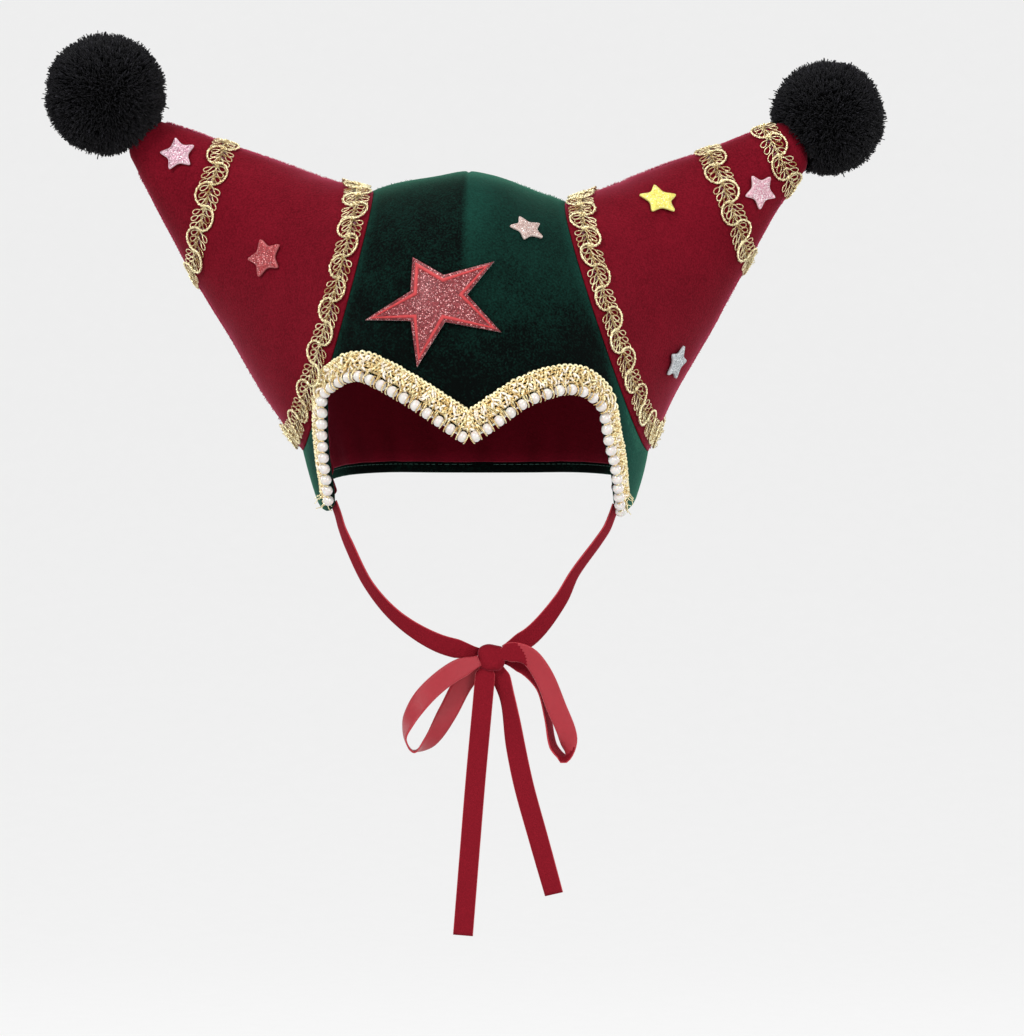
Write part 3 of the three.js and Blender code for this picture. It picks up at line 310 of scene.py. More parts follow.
def level_at_drop(drop):
    drop = np.asarray(drop, float)
    rise = np.clip(1 - drop / CROWN_SHOULDER_DROP, 0, 1)
    upper = np.arccos(rise ** (PROFILE_ROUNDNESS / 2)) / (math.pi / 2)
    lower = 1 + (drop - CROWN_SHOULDER_DROP) / (CROWN_HEIGHT - CROWN_SHOULDER_DROP)
    return np.where(drop >= CROWN_SHOULDER_DROP, lower, upper)


def sway_at(drop):
    return FLAP_SWAY * soft_step(drop / CROWN_HEIGHT)


def slump_at(across, drop):
    share = (across / CROWN_HALF_WIDTH - SLUMP_START) / (SLUMP_FULL - SLUMP_START)
    return SHOULDER_SLUMP * soft_step(share) * (1 - soft_step(drop / (CROWN_SHOULDER_DROP * SLUMP_END)))


def drop_before_slump(across, height):
    drop = CROWN_TOP - height
    for _ in range(8):
        drop = CROWN_TOP - height - slump_at(across, drop)
    return drop


def crown_base(turn, level):
    wide, deep, drop = level_shape(level)
    across = sway_at(drop) + CROWN_HALF_WIDTH * wide * rounded(np.sin(turn), PLAN_ROUNDNESS)
    return np.stack([
        across,
        -CROWN_HALF_DEPTH * deep * rounded(np.cos(turn), PLAN_ROUNDNESS),
        CROWN_TOP - drop - slump_at(across, drop),
    ], axis=-1)


def crown_field(points):
    """A value that is 1 on the crown's outside and grows outward."""
    drop = drop_before_slump(points[..., 0], points[..., 2])
    below = np.maximum(drop - CROWN_SHOULDER_DROP, 0) / (CROWN_HEIGHT - CROWN_SHOULDER_DROP)
    wide = np.abs(points[..., 0] - sway_at(drop)) / (CROWN_HALF_WIDTH * (1 - FLAP_PULL * below**2))
    deep = np.abs(points[..., 1]) / (CROWN_HALF_DEPTH * (1 - NAPE_PULL * below**2))
    rise = np.maximum(1 - drop / CROWN_SHOULDER_DROP, 0)
    plan = wide**PLAN_ROUNDNESS + deep**PLAN_ROUNDNESS
    return plan ** (PROFILE_ROUNDNESS / PLAN_ROUNDNESS) + rise**PROFILE_ROUNDNESS


def crown_normal(points):
    step = 0.05
    parts = []
    for axis in range(3):
        shift = np.zeros(3)
        shift[axis] = step
        parts.append(crown_field(points + shift) - crown_field(points - shift))
    return unit(np.stack(parts, axis=-1))


def crown_point(turn, level, outset=0.0, ridged=True):
    turn, level, outset = np.broadcast_arrays(
        np.asarray(turn, float), np.asarray(level, float), np.asarray(outset, float))
    base = crown_base(turn, level)
    raised = outset
    if ridged:
        front = 1 - soft_step((level - RIDGE_FADE_START) / (RIDGE_FADE_END - RIDGE_FADE_START))
        raised = outset + SEAM_RIDGE_HEIGHT * front * np.exp(-((base[..., 0] / SEAM_RIDGE_WIDTH) ** 2))
    return base + crown_normal(base) * raised[..., None]


def crown_front(x, z):
    """The y of the crown's front face at a place seen from the front."""
    level = level_at_drop(drop_before_slump(x, z))
    wide, deep, drop = level_shape(level)
    share = np.abs(x - sway_at(drop)) / (CROWN_HALF_WIDTH * wide)
    flat = -CROWN_HALF_DEPTH * deep * (1 - share**PLAN_ROUNDNESS) ** (1 / PLAN_ROUNDNESS)
    front = 1 - soft_step((level - RIDGE_FADE_START) / (RIDGE_FADE_END - RIDGE_FADE_START))
    return flat - SEAM_RIDGE_HEIGHT * front * np.exp(-((x / SEAM_RIDGE_WIDTH) ** 2))


def rim_at(station, side):
    station = np.asarray(station, float)
    first = np.minimum(np.floor(station).astype(int), RIM_LAST - 1)
    share = station - first

    def smooth(column):
        values = np.asarray(column, float)
        a, b, c, d = (values[np.clip(first + k, 0, RIM_LAST)] for k in (-1, 0, 1, 2))
        bend = 2 * a - 5 * b + 4 * c - d
        return b + 0.5 * share * (c - a + share * (bend + share * (3 * (b - c) + d - a)))

    return side * np.radians(smooth(RIM_TURNS[side])), smooth(RIM_DROPS[side]) * CROWN_HEIGHT


def rim_inset(station, side, inset):
    """Turn and level of the place that lies inset millimetres in from the rim."""
    station, inset = np.broadcast_arrays(np.asarray(station, float), np.asarray(inset, float))
    turn, drop = rim_at(station, side)
    step = 0.05
    turn_before, drop_before = rim_at(np.maximum(station - step, 0), side)
    turn_after, drop_after = rim_at(np.minimum(station + step, RIM_LAST), side)
    small_turn, small_drop = 0.002, 0.2
    across = crown_base(turn + small_turn, level_at_drop(drop))
    across = (across - crown_base(turn - small_turn, level_at_drop(drop))) / (2 * small_turn)
    down = crown_base(turn, level_at_drop(drop + small_drop))
    down = (down - crown_base(turn, level_at_drop(drop - small_drop))) / (2 * small_drop)
    along = across * (turn_after - turn_before)[..., None] + down * (drop_after - drop_before)[..., None]
    normal = crown_normal(crown_base(turn, level_at_drop(drop)))
    inward = np.cross(normal, unit(along)) * side
    def dot(a, b):
        return (a * b).sum(-1)

    grid = dot(across, across) * dot(down, down) - dot(across, down) ** 2
    turn_shift = (dot(inward, across) * dot(down, down) - dot(inward, down) * dot(across, down)) / grid
    drop_shift = (dot(inward, down) * dot(across, across) - dot(inward, across) * dot(across, down)) / grid
    end = (station < step) | (station > RIM_LAST - step)
    stretch = 1 / np.maximum(np.abs(inward[..., 2]), 0.5)
    straight = -stretch / np.linalg.norm(down, axis=-1)
    new_turn = turn + np.where(end, 0, turn_shift) * inset
    new_drop = drop + np.where(end, straight, drop_shift) * inset
    return side * np.maximum(side * new_turn, 0), level_at_drop(new_drop)


PROFILE_LEVELS = np.concatenate([np.linspace(0, 1, 600), np.linspace(1, 2.2, 240)[1:]])
_WIDE, _DEEP, _DROP = level_shape(PROFILE_LEVELS)
PROFILE_ARCS = np.concatenate([[0], np.cumsum(np.hypot(
    np.diff(_WIDE) * (CROWN_HALF_WIDTH + CROWN_HALF_DEPTH) / 2, np.diff(_DROP)))])


def rows_to(level, count, first=0.0):
    """Levels evenly spaced along the wall from the top down to each given level."""
    arcs = np.interp(level, PROFILE_LEVELS, PROFILE_ARCS)
    shares = np.linspace(first, 1, count)
    return np.interp(shares[:, None] * arcs[None, :], PROFILE_ARCS, PROFILE_LEVELS)


def spline_point(rows, share):
    """A centripetal curve through the rows, as in the part's source, with its tangent."""
    rows = np.asarray(rows, float)
    last = len(rows) - 1

    def place(value):
        spot = value * last
        first = min(int(math.floor(spot)), last - 1)
        weight = spot - first
        before = rows[first - 1] if first > 0 else 2 * rows[0] - rows[1]
        after = rows[first + 2] if first + 2 <= last else 2 * rows[last] - rows[last - 1]
        a, b, c, d = before, rows[first], rows[first + 1], after
        gap_ab = max(np.linalg.norm((b - a)[:3]) ** 0.5, 1e-4)
        gap_bc = max(np.linalg.norm((c - b)[:3]) ** 0.5, 1e-4)
        gap_cd = max(np.linalg.norm((d - c)[:3]) ** 0.5, 1e-4)
        leave = ((b - a) / gap_ab - (c - a) / (gap_ab + gap_bc) + (c - b) / gap_bc) * gap_bc
        reach = ((c - b) / gap_bc - (d - b) / (gap_bc + gap_cd) + (d - c) / gap_cd) * gap_bc
        cubic = 2 * b - 2 * c + leave + reach
        square = -3 * b + 3 * c - 2 * leave - reach
        return ((cubic * weight + square) * weight + leave) * weight + b

    small = 1e-4
    ahead = place(min(share + small, 1))
    behind = place(max(share - small, 0))
    return place(share), ahead - behind


class HornSurface:
    """A horn's outside: around 0 at the upper edge and a quarter at the front, along 0 at the seam."""

    def __init__(self, horn):
        self.side = horn["side"]
        share = min(SEAM_TOP_OUT / CROWN_HALF_WIDTH, 1)
        top_drop = CROWN_SHOULDER_DROP * (1 - (1 - share**PROFILE_ROUNDNESS) ** (1 / PROFILE_ROUNDNESS))
        top_across = self.side * SEAM_TOP_OUT
        top = np.array([top_across, 0, CROWN_TOP - top_drop - slump_at(top_across, top_drop)])
        bottom = np.array([self.side * horn["bottom_out"], 0, CROWN_TOP - SEAM_BOTTOM_DROP])
        turn = math.radians(horn["turn"])
        self.up = unit(top - bottom)
        self.back = np.array([self.side * math.sin(turn), math.cos(turn), 0])
        self.out = unit(np.cross(self.up, self.back) * -self.side)
        self.middle = (top + bottom) / 2
        self.angles = np.linspace(0, 2 * math.pi, 721)
        self.reaches = self.find_reach(self.angles)
        reach_up, reach_front = self.reaches[0], self.reaches[180]
        reach_down, reach_back = self.reaches[360], self.reaches[540]
        self.seam_half_depth = (reach_front + reach_back) / 2
        self.seam_length = reach_up + reach_down
        self.seam_shift = reach_down - reach_up
        rows = [(0, self.middle + self.up * reach_up, self.middle - self.up * reach_down,
                 self.seam_half_depth)]
        for along, top_out, top_up, bottom_out, bottom_up, depth in horn["sections"]:
            rows.append((
                along,
                np.array([self.side * top_out * HORN_SPAN, 0, top_up * HORN_HEIGHT]),
                np.array([self.side * bottom_out * HORN_SPAN, 0, bottom_up * HORN_HEIGHT]),
                depth * self.seam_half_depth,
            ))
        alongs = [row[0] for row in rows]
        self.table_along = np.linspace(0, 1, 161)
        shares = np.interp(self.table_along, alongs, np.linspace(0, 1, len(rows)))
        self.tops = np.array([spline_point([r[1] for r in rows], s)[0] for s in shares])
        self.bottoms = np.array([spline_point([r[2] for r in rows], s)[0] for s in shares])
        depths = [np.array([r[3], 0, 0]) for r in rows]
        self.depths = np.array([spline_point(depths, s)[0][0] for s in shares])
        self.tip = (self.point(0.0, 1.0) + self.point(0.5, 1.0)) / 2
        before = (self.point(0.0, 0.9) + self.point(0.5, 0.9)) / 2
        self.axis = unit(self.tip - before)

    def find_reach(self, angles):
        near = np.zeros_like(angles)
        far = np.full_like(angles, 2 * CROWN_HALF_DEPTH)
        for _ in range(40):
            radius = (near + far) / 2
            points = (self.middle + self.up * (radius * np.cos(angles))[:, None]
                      - self.back * (radius * np.sin(angles))[:, None])
            inside = crown_field(points) < 1
            near = np.where(inside, radius, near)
            far = np.where(inside, far, radius)
        return near

    def table(self, values, along):
        if values.ndim == 1:
            return np.interp(along, self.table_along, values)
        return np.stack([np.interp(along, self.table_along, values[:, k]) for k in range(3)], -1)

    def point(self, around, along, outset=0.0):
        around, along, outset = np.broadcast_arrays(
            np.asarray(around, float), np.asarray(along, float), np.asarray(outset, float))
        held = np.clip(along, 0, 1)
        top, bottom = self.table(self.tops, held), self.table(self.bottoms, held)
        half_depth = self.table(self.depths, held)
        angle = 2 * math.pi * around
        spread = top - bottom
        length = np.linalg.norm(spread, axis=-1)
        up = spread / length[..., None]
        straight = soft_step(held)[..., None]
        back = unit(self.back * (1 - straight) + np.array([0.0, 1.0, 0.0]) * straight)
        seam_radius = np.interp(angle % (2 * math.pi), self.angles, self.reaches)
        seam_up = (2 * seam_radius * np.cos(angle) + self.seam_shift) / self.seam_length
        seam_out = seam_radius * np.sin(angle) / self.seam_half_depth
        tip_out = np.sign(np.sin(angle)) * np.abs(np.sin(angle)) ** HORN_CREASE
        blend = soft_step(held * SECTION_BLEND)
        up_share = seam_up + (np.cos(angle) - seam_up) * blend
        out_share = seam_out + (tip_out - seam_out) * blend
        half_length = length / 2
        place = (top + bottom) / 2 + up * (half_length * up_share)[..., None]
        place = place - back * (half_depth * out_share)[..., None]
        away = up * (up_share / np.maximum(half_length, 1))[..., None]
        away = away - back * (out_share / np.maximum(half_depth, 1))[..., None]
        return place + unit(away) * outset[..., None]

    def scale(self, around, along):
        """Millimetres of surface for one unit of along."""
        small = 0.02
        low = np.clip(np.asarray(along, float) - small / 2, 0, 1 - small)
        return np.linalg.norm(self.point(around, low + small) - self.point(around, low), axis=-1) / small


HORN_SURFACES = {name: HornSurface(horn) for name, horn in HORNS.items()}


# Mesh helpers


def deselect_all():
    if bpy.context.object and bpy.context.object.mode != "OBJECT":
        bpy.ops.object.mode_set(mode="OBJECT")
    bpy.ops.object.select_all(action="DESELECT")


def make_active(piece):
    deselect_all()
    piece.select_set(True)
    bpy.context.view_layer.objects.active = piece


def build_piece(name, points, faces, attributes=None, smooth=True):
    """A mesh from arrays of points in millimetres and faces that all have as many corners."""
    faces = np.asarray(faces, np.int32)
    mesh = bpy.data.meshes.new(name)
    mesh.vertices.add(len(points))
    mesh.vertices.foreach_set("co", (np.asarray(points, float) * MM).astype(np.float32).ravel())
    mesh.loops.add(faces.size)
    mesh.loops.foreach_set("vertex_index", faces.ravel())
    mesh.polygons.add(len(faces))
    mesh.polygons.foreach_set("loop_start", np.arange(0, faces.size, faces.shape[1], dtype=np.int32))
    mesh.update(calc_edges=True)
    mesh.validate()
    for label, values in (attributes or {}).items():
        kind = "FLOAT_VECTOR" if values.ndim == 2 else "FLOAT"
        attribute = mesh.attributes.new(label, kind, "POINT")
        attribute.data.foreach_set("vector" if values.ndim == 2 else "value",
                                   values.astype(np.float32).ravel())
    mesh.polygons.foreach_set("use_smooth", np.full(len(faces), smooth))
    piece = bpy.data.objects.new(name, mesh)
    bpy.context.scene.collection.objects.link(piece)
    return piece


def face_outward(piece):
    """Turns a closed mesh's faces outward."""
    mesh = piece.data
    count = len(mesh.loop_triangles) or mesh.calc_loop_triangles() or len(mesh.loop_triangles)
    corners = np.empty(len(mesh.loop_triangles) * 3, np.int32)
    mesh.loop_triangles.foreach_get("vertices", corners)
    places = np.empty(len(mesh.vertices) * 3)
    mesh.vertices.foreach_get("co", places)
    tri = places.reshape(-1, 3)[corners.reshape(-1, 3)]
    volume = (tri[:, 0] * np.cross(tri[:, 1], tri[:, 2])).sum()
    if count and volume < 0:
        mesh.flip_normals()
    return piece


def wall_piece(name, rings, pole_start, pole_end, attributes=None):
    """A closed skin through rings, from one pole to another."""
    rings = np.asarray(rings, float)
    rows, columns = rings.shape[:2]
    points = np.concatenate([rings.reshape(-1, 3), [pole_start, pole_end]])
    column = np.arange(columns)
    following = (column + 1) % columns
    faces = []
    for row in range(rows - 1):
        low, high = row * columns, (row + 1) * columns
        faces.append(np.stack([low + column, high + column, high + following], -1))
        faces.append(np.stack([low + column, high + following, low + following], -1))
    start = np.full(columns, rows * columns)
    faces.append(np.stack([start, column, following], -1))
    last = (rows - 1) * columns
    faces.append(np.stack([start + 1, last + following, last + column], -1))
    if attributes:
        attributes = {k: np.concatenate([v.reshape(-1), [v.flat[0], v.flat[-1]]])
                      for k, v in attributes.items()}
    return face_outward(build_piece(name, points, np.concatenate(faces), attributes))


def strand_arrays(centres, ups, radii, sides):
    """Points, triangles and turn attributes of many strands with as many points each."""
    centres = np.asarray(centres, float)
    count, steps = centres.shape[:2]
    tangents = unit(np.gradient(centres, axis=1))
    aside = unit(np.cross(tangents, ups))
    over = np.cross(aside, tangents)
    angles = 2 * math.pi * np.arange(sides) / sides
    radii = np.broadcast_to(np.asarray(radii, float), (count, steps))
    ring = (aside[:, :, None, :] * np.cos(angles)[None, None, :, None]
            + over[:, :, None, :] * np.sin(angles)[None, None, :, None])
    points = centres[:, :, None, :] + ring * radii[:, :, None, None]
    gaps = np.linalg.norm(np.diff(centres, axis=1), axis=-1)
    along = np.concatenate([np.zeros((count, 1)), np.cumsum(gaps, axis=1)], axis=1)
    wave = np.stack(np.broadcast_arrays(np.cos(angles)[None, None, :], np.sin(angles)[None, None, :],
                                        along[:, :, None]), -1)
    side = np.arange(sides)
    following = (side + 1) % sides
    step = np.arange(steps - 1)[:, None] * sides
    quads = [step + side, step + sides + side, step + sides + following, step + following]
    faces = np.concatenate([np.stack([quads[0], quads[2], quads[1]], -1).reshape(-1, 3),
                            np.stack([quads[0], quads[3], quads[2]], -1).reshape(-1, 3)])
    caps = []
    last = (steps - 1) * sides
    for corner in range(1, sides - 1):
        caps.append([0, corner, corner + 1])
        caps.append([last, last + corner + 1, last + corner])
    caps = np.array(caps)[:, ::-1]
    faces = np.concatenate([faces, caps])
    starts = np.arange(count)[:, None, None] * steps * sides
    return points.reshape(-1, 3), (faces[None] + starts).reshape(-1, 3), wave.reshape(-1, 3)


def join_arrays(parts):
    """One set of arrays from several, with a tone and a finish number for each part."""
    points, faces, waves, tones, kinds = [], [], [], [], []
    offset = 0
    for part_points, part_faces, part_waves, tone, kind in parts:
        points.append(part_points)
        faces.append(part_faces + offset)
        waves.append(part_waves)
        tones.append(np.broadcast_to(np.asarray(tone, float), (len(part_points),)))
        kinds.append(np.full(len(part_faces), kind, np.int32))
        offset += len(part_points)
    return [np.concatenate(arrays) for arrays in (points, faces, waves, tones, kinds)]


def strand_piece(name, parts):
    points, faces, waves, tones, kinds = join_arrays(parts)
    piece = build_piece(name, points, faces, {"turn": waves, "tone": tones})
    piece.data.polygons.foreach_set("material_index", kinds)
    return piece


def finish_piece(piece, nodes, slot, *materials):
    """Gives a piece its finishes and its body, and hides the nodes that it stands for. Its slot is not used.
    """
    for material in materials:
        piece.data.materials.append(material)
    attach(piece, "root")
    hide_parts(*nodes)
    return piece


# Materials


class Finish:
    """A material and short calls to add and join its nodes."""

    def __init__(self, name):
        self.material = bpy.data.materials.new(name)
        self.material.use_nodes = True
        self.tree = self.material.node_tree
        self.shader = self.tree.nodes["Principled BSDF"]
        self.places = None

    def set(self, **values):
        for name, value in values.items():
            self.shader.inputs[name.replace("_", " ")].default_value = value

    def join(self, source, target):
        self.tree.links.new(source, target)

    def node(self, kind, **inputs):
        node = self.tree.nodes.new(kind)
        for name, value in inputs.items():
            socket = node.inputs[int(name[1:])] if name[0] == "i" and name[1:].isdigit() else (
                node.inputs[name.replace("_", " ")])
            if hasattr(value, "is_output"):
                self.join(value, socket)
            else:
                socket.default_value = value
        return node

    def object_places(self):
        if self.places is None:
            self.places = self.tree.nodes.new("ShaderNodeTexCoord").outputs["Object"]
        return self.places

    def noise(self, size, detail=2.0, roughness=0.5, stretch=None):
        places = self.object_places()
        if stretch:
            places = self.node("ShaderNodeMapping", Vector=places, Scale=stretch).outputs[0]
        return self.node("ShaderNodeTexNoise", Vector=places, Scale=1 / size, Detail=detail,
                         Roughness=roughness).outputs["Fac"]

    def cells(self, size, output="Color"):
        node = self.node("ShaderNodeTexVoronoi", Vector=self.object_places(), Scale=1 / size)
        return node.outputs[output]

    def attribute(self, name, output="Fac"):
        node = self.tree.nodes.new("ShaderNodeAttribute")
        node.attribute_name = name
        return node.outputs[output]

    def math(self, operation, first, second=0.0):
        node = self.node("ShaderNodeMath", i0=first, i1=second)
        node.operation = operation
        return node.outputs[0]

    def span(self, value, low, high, to_low=0.0, to_high=1.0):
        return self.node("ShaderNodeMapRange", i0=value, i1=low, i2=high, i3=to_low,
                         i4=to_high).outputs[0]

    def mix(self, share, first, second, blend="MIX"):
        node = self.tree.nodes.new("ShaderNodeMix")
        node.data_type = "RGBA"
        node.blend_type = blend
        for socket, value in ((node.inputs[0], share), (node.inputs[6], first), (node.inputs[7], second)):
            if hasattr(value, "is_output"):
                self.join(value, socket)
            elif socket.type == "RGBA":
                socket.default_value = (*value, 1)
            else:
                socket.default_value = value
        return node.outputs[2]

    def bump(self, height, strength, distance, normal=None):
        node = self.node("ShaderNodeBump", Height=height, Strength=strength, Distance=distance)
        if normal:
            self.join(normal, node.inputs["Normal"])
        return node.outputs[0]

    def colour(self, value):
        self.join(value, self.shader.inputs["Base Color"])

    def normal(self, value):
        self.join(value, self.shader.inputs["Normal"])

    def rough(self, value):
        self.join(value, self.shader.inputs["Roughness"])


def velvet_finish(name, dark, light, painted_sheen_colour, sheen, sheen_weight, grain_depth=0.6, painted_light="painted_light"):
    """Velvet: short pile with a fine grain and random patches, with painted sheen and shade: lighter where a
    per-point attribute of painted light is high, and painted pale where that attribute passes one or where
    the surface turns away from view.
    """
    finish = Finish(name)
    finish.set(Roughness=0.9, Specular_IOR_Level=0.04, Sheen_Weight=sheen_weight, Sheen_Roughness=0.3)
    finish.set(Sheen_Tint=(*sheen, 1))
    patches = finish.span(finish.noise(0.022, 3.0, 0.6), 0.35, 0.7)
    grain = finish.span(finish.noise(0.0009, 2.0, 0.7), 0.25, 0.75)
    mottle = finish.span(finish.noise(0.0034, 2.0, 0.6), 0.3, 0.7, -0.5, 0.5)
    # The per-point attribute adds painted sheen and shade to the random patches and mottle.
    patches_and_painted_light = finish.math("ADD", finish.math("MULTIPLY", patches, 0.16), finish.attribute(painted_light))
    patches_and_painted_light = finish.math("ADD", finish.math("MULTIPLY", mottle, grain_depth * 0.18), patches_and_painted_light)
    rough_grain = finish.math("MULTIPLY", finish.math("SUBTRACT", grain, 0.5), grain_depth)
    grain_and_painted_light = finish.math("ADD", rough_grain, patches_and_painted_light)
    colour = finish.mix(finish.span(grain_and_painted_light, 0, 1), dark, light)
    # Painted sheen: the base colour turns pale where the surface turns away from view, and where the painted
    # light passes one.
    turned = finish.node("ShaderNodeLayerWeight", Blend=0.5).outputs["Facing"]
    sheen_share = finish.math("MULTIPLY", finish.math("POWER", turned, 7.0), 0.75)
    pale = finish.math("MAXIMUM", finish.span(grain_and_painted_light, 1.0, 2.0), sheen_share)
    finish.colour(finish.mix(pale, colour, painted_sheen_colour))
    pile = finish.bump(grain, 0.55, 0.0004)
    finish.normal(finish.bump(finish.noise(0.004, 2.0), 0.25, 0.0006, pile))
    return finish.material


def cord_finish(name, dark, light, metal=0.85, roughness=0.3, pitch=0.9):
    """Cord of twisted metallic thread: the turn attribute carries the twist. Its colour runs from dark to
    pale, painted darker in the twist's grooves and paler on its crests as shade and highlight.
    """
    finish = Finish(name)
    finish.set(Metallic=metal, Roughness=roughness)
    parts = finish.node("ShaderNodeSeparateXYZ", Vector=finish.attribute("turn", "Vector"))
    angle = finish.math("MULTIPLY", parts.outputs[2], 2 * math.pi / pitch)
    first = finish.math("MULTIPLY", finish.math("COSINE", angle), parts.outputs[1])
    second = finish.math("MULTIPLY", finish.math("SINE", angle), parts.outputs[0])
    twist = finish.math("ADD", first, second)
    tone = finish.attribute("tone")
    # The twist paints shade into the grooves; the tone attribute adds each strand's random tone and, for
    # cords that lie beneath others, painted shade.
    shade = finish.math("ADD", finish.math("MULTIPLY", twist, 0.5), tone)
    shade = finish.math("ADD", shade, finish.span(finish.noise(0.0013, 1.0), 0.3, 0.7, -0.4, 0.4))
    finish.colour(finish.mix(finish.span(shade, 0, 1), dark, light))
    finish.normal(finish.bump(twist, 0.5, 0.00012))
    return finish.material


def glitter_finish(name, base, painted_glint, dark, flake=0.0004):
    """Glitter: flat flakes that lie at all angles in a clear coat, with a few random flakes painted pale as
    glints.
    """
    finish = Finish(name)
    finish.set(Metallic=0.35, Roughness=0.4, Coat_Weight=0.08, Coat_Roughness=0.2)
    cells = finish.cells(flake)
    parts = finish.node("ShaderNodeSeparateColor", Color=cells)
    colour = finish.mix(finish.span(parts.outputs[0], 0.1, 0.9), dark, base)
    # Painted glints: a few random flakes take the pale glint colour.
    painted_glint_flakes = finish.span(parts.outputs[1], 0.88, 0.92)
    finish.colour(finish.mix(painted_glint_flakes, colour, painted_glint))
    tilt = finish.node("ShaderNodeVectorMath", i0=cells, i1=(0.5, 0.5, 0.5))
    tilt.operation = "SUBTRACT"
    lean = finish.node("ShaderNodeVectorMath", i0=tilt.outputs[0])
    lean.operation = "SCALE"
    lean.inputs["Scale"].default_value = 1.1
    geometry = finish.tree.nodes.new("ShaderNodeNewGeometry")
    total = finish.node("ShaderNodeVectorMath", i0=lean.outputs[0], i1=geometry.outputs["Normal"])
    total.operation = "ADD"
    level = finish.node("ShaderNodeVectorMath", i0=total.outputs[0])
    level.operation = "NORMALIZE"
    finish.normal(level.outputs[0])
    return finish.material


def foam_finish(name, tint):
    """Fine-celled craft foam, as on the stars' sides."""
    finish = Finish(name)
    finish.set(Roughness=0.8, Specular_IOR_Level=0.3)
    grain = finish.noise(0.0005, 2.0)
    finish.colour(finish.mix(grain, tint, tuple(min(1, 1.08 * part) for part in tint)))
    finish.normal(finish.bump(grain, 0.35, 0.00015))
    return finish.material


def raised_finish(name, dark, light):
    """Puffed print with a soft gloss, as on the large star's raised line."""
    finish = Finish(name)
    finish.set(Roughness=0.5, Specular_IOR_Level=0.25)
    finish.colour(finish.mix(finish.span(finish.noise(0.0018, 2.0), 0.3, 0.7), dark, light))
    finish.normal(finish.bump(finish.noise(0.0009, 2.0), 0.3, 0.0002))
    return finish.material


def pearl_finish(name, tone):
    """Moulded pearl: a soft warm body under a clear gloss."""
    finish = Finish(name)
    finish.set(Roughness=0.2, Coat_Weight=1.0, Coat_Roughness=0.05, Sheen_Weight=0.05)
    finish.set(Subsurface_Weight=0.12, Subsurface_Scale=0.001)
    swirl = finish.span(finish.noise(0.003, 2.0), 0.3, 0.7)
    finish.colour(finish.mix(swirl, tone, (0.66, 0.63, 0.6)))
    finish.rough(finish.span(swirl, 0, 1, 0.16, 0.26))
    finish.normal(finish.bump(finish.noise(0.0009, 1.0), 0.05, 0.0001))
    return finish.material


def yarn_finish(name, dark, light):
    """Matt acrylic yarn, painted darker toward the pompom's middle as shade and paler toward the cut ends as
    painted glints.
    """
    finish = Finish(name)
    finish.set(Roughness=0.7, Specular_IOR_Level=0.12, Sheen_Weight=0.03, Sheen_Roughness=0.4)
    tone = finish.attribute("tone")
    fleck = finish.span(finish.noise(0.0008, 2.0), 0.3, 0.75)
    finish.colour(finish.mix(finish.math("MULTIPLY", tone, fleck), dark, light))
    finish.normal(finish.bump(finish.noise(0.0003, 1.0), 0.4, 0.0001))
    return finish.material


def satin_finish(name, dark, light):
    """Satin back of a ribbon: fine threads across and a soft gloss, with streaks of gloss painted into its
    colour.
    """
    finish = Finish(name)
    finish.set(Roughness=0.45, Specular_IOR_Level=0.3, Sheen_Weight=0.1, Sheen_Roughness=0.4)
    along = finish.attribute("along")
    thread = finish.math("SINE", finish.math("MULTIPLY", along, 2 * math.pi / 0.32))
    painted_gloss_streaks = finish.span(finish.noise(0.002, 2.0), 0.3, 0.7)
    weave = finish.span(finish.math("ADD", finish.math("MULTIPLY", thread, 0.3), painted_gloss_streaks), -0.3, 1.3)
    finish.colour(finish.mix(weave, dark, light))
    finish.normal(finish.bump(thread, 0.25, 0.00008))
    return finish.material


def stage_finish():
    """Pale matt paper for the floor and the backdrop."""
    finish = Finish("pale_paper")
    finish.set(Roughness=1.0, Specular_IOR_Level=0.0)
    grain = finish.noise(0.02, 2.0)
    finish.colour(finish.mix(grain, (0.21, 0.21, 0.21), (0.23, 0.23, 0.23)))
    finish.set(Emission_Color=(1, 1, 1, 1), Emission_Strength=0.715)
    return finish.material


# Pieces


def knot_pinch(name, share, length):
    """How much narrower a ribbon is drawn where it goes into the knot."""
    gaps = {"strap": [1 - share], "loops": [share, 1 - share], "tail_": [share]}
    near = min(gaps["loops" if name.startswith("loop") else name[:5]]) * length
    return 1 - 0.45 * (1 - float(soft_step(near / 9.0)))


